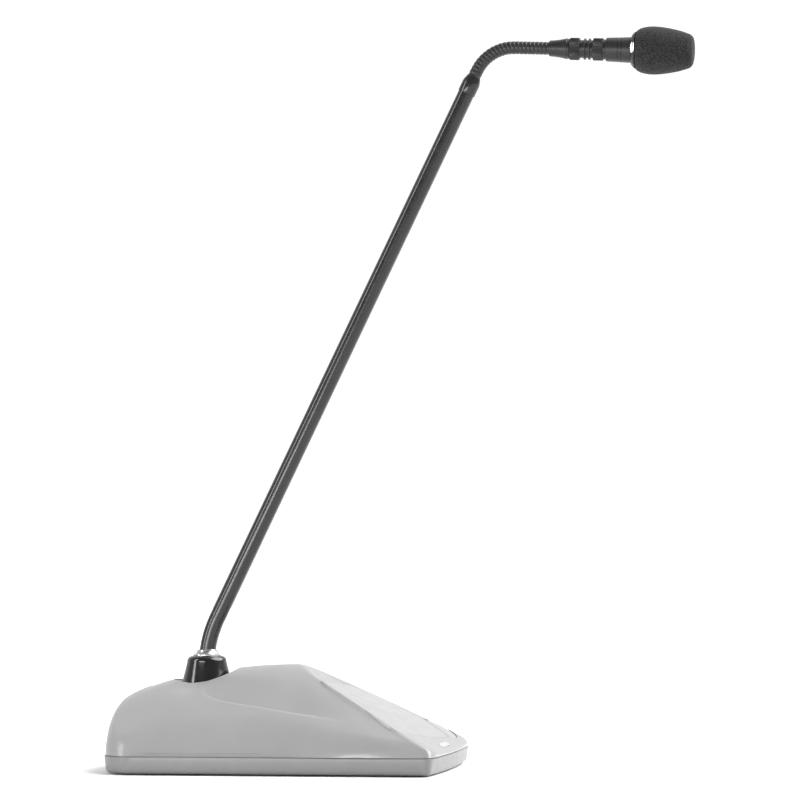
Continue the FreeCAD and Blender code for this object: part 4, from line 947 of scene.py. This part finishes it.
SCREW_SPOTS = [(x, y) for x in (-33.0, 88.0) for y in (-43.0, 43.0)]
SCREW_BORE = 3.2
GRIP_GAP = 0.2
CUT_LOW = -2.0
tray_piece = mesh_piece("tray_skin", *tray(), None, "base_tray", TRAY_PAINT)
grip_low, grip_high = low("grip_pad"), high("grip_pad")
tray_cuts = [rod(SCREW_BORE, x, y, CUT_LOW, low("tray_screws")[2] + 1.4) for x, y in SCREW_SPOTS]
tray_cuts.append(box((grip_low[0] - GRIP_GAP, grip_low[1] - GRIP_GAP, CUT_LOW),
                     (grip_high[0] + GRIP_GAP, grip_high[1] + GRIP_GAP, grip_high[2])))
carve(tray_piece, tray_cuts)
finish_mesh(tray_piece.data, 40.0)
mount(tray_piece, "base", TRAY_PAINT, ["bottom_tray"])

# ---------- stem

TILT = math.radians(26.2)
TUBE_WAY = np.array([math.sin(TILT), 0.0, math.cos(TILT)])
TUBE_RADIUS = 4.1
TUBE_WALL = 0.9
TUBE_STEPS = 32
TUBE_CORNER = 64.2
TUBE_BEND = 52.0
NECK_ROOT = pivot("neck_pitch_1") - TUBE_WAY * 3.2


def tube_line():
    """Centre line of the stem with its tangents: straight foot, bend, long straight run."""
    tangent = TUBE_BEND * math.tan(TILT / 2)
    start = np.array([0.0, 0.0, TUBE_CORNER - tangent])
    centre = start + np.array([TUBE_BEND, 0.0, 0.0])
    line = [(np.array([0.0, 0.0, low("stem_tube")[2]]), 0.0)]
    for step in range(TUBE_STEPS + 1):
        turn = TILT * step / TUBE_STEPS
        line.append((centre + TUBE_BEND * np.array([-math.cos(turn), 0.0, math.sin(turn)]), turn))
    line.append((NECK_ROOT - TUBE_WAY * 3.0, TILT))
    return line


def ring_points(spot, across, radius, segments):
    """Points of a ring round a spot, in the plane of one given direction and Y."""
    points = []
    for number in range(segments):
        angle = 2 * math.pi * number / segments
        points.append(spot + radius * (across * math.cos(angle)
                                       + np.array([0, 1.0, 0]) * math.sin(angle)))
    return points


def hollow_tube():
    """Tube wall: its outside up the centre line and its inside back down."""
    segments = 72
    line = tube_line()
    rings = [(spot, turn, TUBE_RADIUS) for spot, turn in line]
    rings += [(spot, turn, TUBE_RADIUS - TUBE_WALL) for spot, turn in line[::-1]]
    points = []
    for spot, turn, radius in rings:
        points += ring_points(spot, np.array([math.cos(turn), 0.0, -math.sin(turn)]), radius, segments)
    return np.array(points), loop_faces(len(rings), segments, closed_rows=True)


mesh_piece("bent_tube", *hollow_tube(), "microphone", "stem_paint", STEM_PAINT, 40, ["stem_tube"])

BOOT_LOW = low("plug_boot")[2]
BOOT_TOP = high("plug_boot")[2]
BOOT_FOOT = high("plug_boot")[0]
BOOT_SHOULDER = (9.95, 53.3)
BOOT_CEILING = 49.5
BOOT_INSIDE = 9.45
STEM_BORE = 4.2
boot = [(BOOT_INSIDE, BOOT_LOW + 0.1), (BOOT_INSIDE + 0.15, BOOT_LOW), (BOOT_FOOT - 0.25, BOOT_LOW),
        (BOOT_FOOT, BOOT_LOW + 0.25), BOOT_SHOULDER]
boot += arc(BOOT_SHOULDER, (7.55, BOOT_TOP - 0.12), -0.8, 10)
boot += [(7.35, BOOT_TOP), (STEM_BORE, BOOT_TOP), (STEM_BORE, BOOT_CEILING), (BOOT_INSIDE, BOOT_CEILING)]
mesh_piece("boot_skin", *turned(boot, 128), "microphone", "boot_metal", BOOT_PAINT, 35, ["plug_boot"])
RING_LOW = low("boot_collar")[2]
RING_TOP = high("boot_collar")[2]
COLLAR_RADIUS = 6.95
collar = [(STEM_BORE, RING_LOW + 0.01), (COLLAR_RADIUS - 0.2, RING_LOW + 0.01),
          (COLLAR_RADIUS, RING_LOW + 0.15), (COLLAR_RADIUS, RING_LOW + 0.5)]
collar += arc(collar[-1], (5.15, RING_TOP - 0.15), 0.42, 8)
collar += [(5.0, RING_TOP), (STEM_BORE, RING_TOP)]
collar_points, collar_faces = turned(collar, 128)
BEND_START = 52.1
lean = TUBE_BEND * (1 - math.cos(math.asin((RING_TOP - BEND_START) / TUBE_BEND)))
shift = np.clip((collar_points[:, 2] - RING_LOW) / (RING_TOP - RING_LOW), 0, 1) * lean * 0.6
collar_points[:, 0] += shift
mesh_piece("chrome_collar", collar_points, collar_faces, "microphone", "collar_chrome", CHROME, 35,
           ["boot_collar"])
FERRULE_LENGTH = 9.0
FERRULE_BORE = 4.12
ferrule = [(FERRULE_BORE, 0.0), (4.38, 0.0), (4.45, 0.12), (4.45, 5.4), (4.3, 6.4), (3.5, 8.95),
           (3.4, FERRULE_LENGTH), (3.25, FERRULE_LENGTH), (3.25, 6.1), (FERRULE_BORE, 6.1)]
ferrule_foot = NECK_ROOT - TUBE_WAY * FERRULE_LENGTH
mesh_piece("tapered_ferrule", *placed(turned(ferrule, 72), ferrule_foot, TUBE_WAY), "microphone",
           "stem_paint", STEM_PAINT, 35, ["tube_ferrule"])

# ---------- flexible neck

HEAD_ORIGIN = pivot("union_turn")
HEAD_WAY = np.array(JOINTS["union_turn"]["axis"])
NECK_RADIUS = 3.225
NECK_VALLEY = 2.95
RIB_PITCH = 2.0
RIB_HALF = 0.48
NECK_JOINTS = [f"neck_{way}_{number}" for number in range(1, 6) for way in ("pitch", "yaw")]


def neck_line():
    """Centre line of the neck as (distance, point), smooth through the hinges."""
    spots = [NECK_ROOT - TUBE_WAY * 1.0, NECK_ROOT + TUBE_WAY * 1.2]
    spots += [pivot(name) for name in NECK_JOINTS]
    spots += [HEAD_ORIGIN, HEAD_ORIGIN + HEAD_WAY * 3.0]
    line = smooth_line(spots, 24)
    distances = [0.0]
    for before, after in zip(line, line[1:]):
        distances.append(distances[-1] + float(np.linalg.norm(after - before)))
    return np.array(distances), np.array(line)


def ball(centre, radius):
    """Closed sphere."""
    rows, segments = 14, 40
    profile = [(radius * math.sin(math.pi * row / rows), -radius * math.cos(math.pi * row / rows))
               for row in range(rows + 1)]
    profile[0], profile[-1] = (0.0, -radius), (0.0, radius)
    ball_points, ball_faces = turned(profile, segments)
    return ball_points + np.array(centre), ball_faces


def neck_pieces():
    """Ribbed sleeve, a stretch for each link, with a ball in every hinge to close the gap."""
    distances, line = neck_line()

    def at(distance):
        return np.array([np.interp(distance, distances, line[:, axis]) for axis in range(3)])

    hinges = [float(distances[np.argmin(np.linalg.norm(line - pivot(name), axis=1))])
              for name in NECK_JOINTS]
    cuts = [0.0] + hinges + [float(distances[-1])]
    bodies = ["microphone"] + [JOINTS[name]["child"] for name in NECK_JOINTS]
    nodes = ["neck_root"] + [f"neck_link_{number}" for number in range(1, len(NECK_JOINTS))] + ["neck_tip"]
    segments = 48
    for number, (body, node) in enumerate(zip(bodies, nodes)):
        first, last = cuts[number], cuts[number + 1]
        rib_count = max(round((last - first) / RIB_PITCH), 1)
        steps = rib_count * (16 if FINE else 8)
        points = []
        for step in range(steps + 1):
            share = step / steps
            distance = first + (last - first) * share
            way = at(distance + 0.3) - at(distance - 0.3)
            way = way / np.linalg.norm(way)
            across = np.cross([0.0, 1.0, 0.0], way)
            phase = (share * rib_count) % 1.0 if 0 < step < steps else 0.0
            rise = math.sqrt(max(1 - ((phase - 0.5) / RIB_HALF) ** 2, 0.0))
            radius = NECK_VALLEY + (NECK_RADIUS - NECK_VALLEY) * rise
            points += ring_points(at(distance), across, radius, segments)
        parts = [(np.array(points), loop_faces(steps + 1, segments, capped=True))]
        if number > 0:
            parts.append(ball(pivot(NECK_JOINTS[number - 1]), NECK_VALLEY))
        mesh_piece(f"neck_sleeve_{number}", *joined(parts), body, "neck_metal", NECK_PAINT, 60, [node])


neck_pieces()

# ---------- head


def on_head(name, shape, node, body="head", slot="head_metal", paint=HEAD_PAINT, sharp=35.0):
    """Piece on the head's axis, from the points and faces of a shape that stands along +Z."""
    return mesh_piece(name, *placed(shape, HEAD_ORIGIN, HEAD_WAY), body, slot, paint, sharp, [node])


# Stations along the head's axis, in millimetres from the union's pivot, and radii round it.
TAIL_END = 10.0
UNION_START = 10.3
DISC_START = 17.35
DISC_STEP = 2.3
FRONT_RING_START = 21.9
CORE_END = 28.2
BARREL_START = 26.95
BARREL_END = 41.0
FLARE_END = 43.0
FOAM_START = 43.35
CORE_RADIUS = 4.45
CORE_BORE = 3.25
RING_BORE = 4.5
BARREL_RADIUS = 5.88
BARREL_TAPER = 0.042
FLARE_RADIUS = 9.15
TEETH = 48

tail = [(3.28, 0.02), (3.75, 0.0), (3.95, 0.2)]
tail += arc(tail[-1], (5.2, TAIL_END - 1.25), 0.22, 10)
tail += [(5.1, TAIL_END - 1), (4.95, TAIL_END - 1), (4.95, TAIL_END), (2.2, TAIL_END), (2.2, 4.2),
         (3.28, 4.2)]
on_head("tail_skin", turned(tail, 112), "tail_cone")
core = [(CORE_BORE, TAIL_END), (CORE_RADIUS, TAIL_END), (CORE_RADIUS, CORE_END), (CORE_BORE, CORE_END)]
on_head("core_skin", turned(core, 64), "vent_core")


def knurl(depth):
    """Fine teeth round a ring's rim, on the points outside its bore."""
    def reach(angle, radius):
        return radius - (depth * (0.5 + 0.5 * math.cos(TEETH * angle)) if radius > 5.3 else 0.0)
    return reach


def ring_profile(outer, start, length, edge=0.35):
    """Section of a ring with rounded outer edges."""
    end = start + length
    section = [(RING_BORE, start), (outer - edge, start)]
    section += arc(section[-1], (outer, start + edge), -0.1, 4)
    section += [(outer, end - edge)]
    section += arc(section[-1], (outer - edge, end), -0.1, 4)
    return section + [(RING_BORE, end)]


RING_SEGMENTS = 288 if FINE else 144
on_head("union_skin", turned(ring_profile(5.5, UNION_START, 4.8), RING_SEGMENTS, knurl(0.22)),
        "union_ring", "union", sharp=30)
discs = [turned(ring_profile(5.3, DISC_START + DISC_STEP * number, 0.8, 0.2)) for number in range(2)]
on_head("disc_skins", joined(discs), "vent_discs")
on_head("front_ring_skin", turned(ring_profile(5.55, FRONT_RING_START, 5.0), RING_SEGMENTS, knurl(0.2)),
        "front_ring", sharp=30)
barrel = [(RING_BORE, BARREL_START), (4.95, BARREL_START), (4.95, 28.3), (5.6, 28.35)]
barrel += arc(barrel[-1], (BARREL_RADIUS, 28.7), -0.08, 4)
for groove_start in (34.3, 36.1):
    radius = BARREL_RADIUS + (groove_start - 28.7) * BARREL_TAPER
    barrel += [(radius, groove_start), (radius - 0.28, groove_start + 0.05),
               (radius - 0.28, groove_start + 0.4), (radius + 0.01, groove_start + 0.45)]
barrel += [(6.4, BARREL_END - 0.15), (6.28, BARREL_END), (5.05, BARREL_END), (5.05, 29.4),
           (CORE_BORE, 29.4), (CORE_BORE, 28.4), (RING_BORE, 28.4)]
on_head("barrel_skin", turned(barrel, 112), "barrel")
flare = [(6.35, BARREL_END + 0.02), (7.3, BARREL_END + 0.02), (7.5, BARREL_END + 0.15)]
flare += arc(flare[-1], (FLARE_RADIUS - 0.05, FLARE_END - 0.3), -0.12, 6)
flare += [(FLARE_RADIUS, FLARE_END - 0.1), (FLARE_RADIUS - 0.1, FLARE_END), (6.35, FLARE_END)]
on_head("flare_skin", turned(flare, 144), "head_collar")


def oval_mark():
    """Thin oval of enamel on the collar's near side."""
    centre, half_length, half_width = 42.0, 0.92, 3.15
    turns = np.arange(48) * 2 * math.pi / 48
    rows = []
    for share, lift in ((1.0, -0.35), (1.0, 0.05), (0.9, 0.1), (0.6, 0.12), (0.3, 0.12), (0.0, 0.12)):
        along = centre + half_length * share * np.sin(turns)
        angle = half_width * share * np.cos(turns) / 9.0
        reach = np.interp(along, [41.15, 42.7, 42.9], [7.5, 9.1, FLARE_RADIUS])
        reach = np.maximum(reach, 8.3) + lift
        rows.append(np.column_stack([reach * np.sin(angle), -reach * np.cos(angle), along]))
    return np.concatenate(rows), loop_faces(len(rows), 48) + [tuple(range(48))[::-1]]


# The oval's white enamel carries a faint painted glow that makes it brighter than its lighting.
on_head("white_oval", oval_mark(), "collar_mark", slot="mark_paint", paint=glowing_white_enamel(), sharp=40)


def foam():
    """Section of the foam windscreen: a soft barrel form with a bore for the grille."""
    start = FOAM_START
    outer = [(9.5, start + 0.05), (9.9, start + 0.4)]
    outer += smooth_line([outer[-1], (10.9, start + 2.2), (11.6, start + 5.2), (11.85, start + 8.2),
                          (11.6, start + 12.4), (10.9, start + 17.0), (9.95, start + 21.4),
                          (8.95, start + 24.6), (8.1, start + 26.7), (6.6, start + 28.0),
                          (3.8, start + 28.6), (0.0, start + 28.85)], 8 if FINE else 4)[1:]
    inner = [(0.0, start + 18.0), (5.8, start + 18.0), (6.66, start + 17.2), (6.66, start + 0.05)]
    return inner + outer


foam_piece = on_head("foam_windscreen", turned(foam(), 220 if FINE else 110), "windscreen", "foam",
                     "foam", FOAM_SKIN, 60)

# ---------- floor, light and camera

FLOOR_HALF = 6000
floor_corners = [(FLOOR_HALF * x, FLOOR_HALF * y, 0) for x, y in ((-1, -1), (1, -1), (1, 1), (-1, 1))]
floor = new_object("floor", floor_corners, [(0, 1, 2, 3)])
floor_paint = Paint("pale_floor", Roughness=0.9)
floor_paint.colours(floor_paint.noise(400.0), grey(0.80, 0.0), grey(0.82, 0.0))
floor.data.materials.append(floor_paint.material)

# The world is brightest on the far side of the object and dims towards the camera.
BRIGHT_SIDE = (-0.2, 0.98, 0.0)
DIM = 0.3
BRIGHT = 1.06
scene = bpy.context.scene
scene.view_settings.view_transform = "Standard"
world = bpy.data.worlds.new("studio")
scene.world = world
world.use_nodes = True
sky = world.node_tree
direction = sky.nodes.new("ShaderNodeTexCoord")
facing = sky.nodes.new("ShaderNodeVectorMath")
facing.operation = "DOT_PRODUCT"
facing.inputs[1].default_value = BRIGHT_SIDE
brightness = sky.nodes.new("ShaderNodeMapRange")
brightness.interpolation_type = "SMOOTHSTEP"
for socket, value in (("From Min", -0.2), ("From Max", 0.8), ("To Min", DIM), ("To Max", BRIGHT)):
    brightness.inputs[socket].default_value = value
sky.links.new(direction.outputs["Generated"], facing.inputs[0])
sky.links.new(facing.outputs["Value"], brightness.inputs["Value"])
sky.links.new(brightness.outputs["Result"], sky.nodes["Background"].inputs["Strength"])
sky.nodes["Background"].inputs["Color"].default_value = (1.0, 1.0, 1.0, 1)


def soft_light(name, spot, aim, width, height, power):
    """Rectangular soft light at a spot, facing another spot."""
    light = bpy.data.lights.new(name, "AREA")
    light.shape = "RECTANGLE"
    light.size, light.size_y, light.energy = width, height, power
    lamp = bpy.data.objects.new(name, light)
    lamp.location = spot
    lamp.rotation_euler = (Vector(aim) - Vector(spot)).to_track_quat("-Z", "Y").to_euler()
    scene.collection.objects.link(lamp)


AIM = (0.08, 0.0, 0.1)
soft_light("overhead", (0.5, 0.3, 1.9), AIM, 1.6, 1.2, 8)
soft_light("low_fill", (-0.45, -1.6, 0.14), (0.04, 0.0, 0.03), 0.9, 0.22, 11)
soft_light("left_strip", (-1.15, -0.75, 0.55), AIM, 0.25, 1.5, 14)
high_sun = bpy.data.lights.new("high_sun", "SUN")
high_sun.energy = 6.8
high_sun.angle = math.radians(60)
sun_lamp = bpy.data.objects.new("high_sun", high_sun)
sun_lamp.rotation_euler = (math.radians(-6), math.radians(47), 0)
scene.collection.objects.link(sun_lamp)

# The camera was fitted to the photograph's outline: its spot and aim in metres, and its roll.
camera = bpy.data.cameras.new("camera")
camera.lens = 133.63
camera.sensor_width = 36.0
viewer = bpy.data.objects.new("camera", camera)
scene.collection.objects.link(viewer)
VIEWER_SPOT = Vector((0.36843, -1.45405, 0.09947))
VIEWER_AIM = Vector((0.09936, 0.0, 0.18342))
ROLL = math.radians(-0.308)
forward = (VIEWER_AIM - VIEWER_SPOT).normalized()
right = forward.cross(Vector((0, 0, 1))).normalized()
up = right.cross(forward)
tilted_right = right * math.cos(ROLL) + up * math.sin(ROLL)
tilted_up = up * math.cos(ROLL) - right * math.sin(ROLL)
turned_view = Matrix((tilted_right, tilted_up, -forward)).transposed().to_4x4()
viewer.matrix_world = Matrix.Translation(VIEWER_SPOT) @ turned_view
scene.camera = viewer
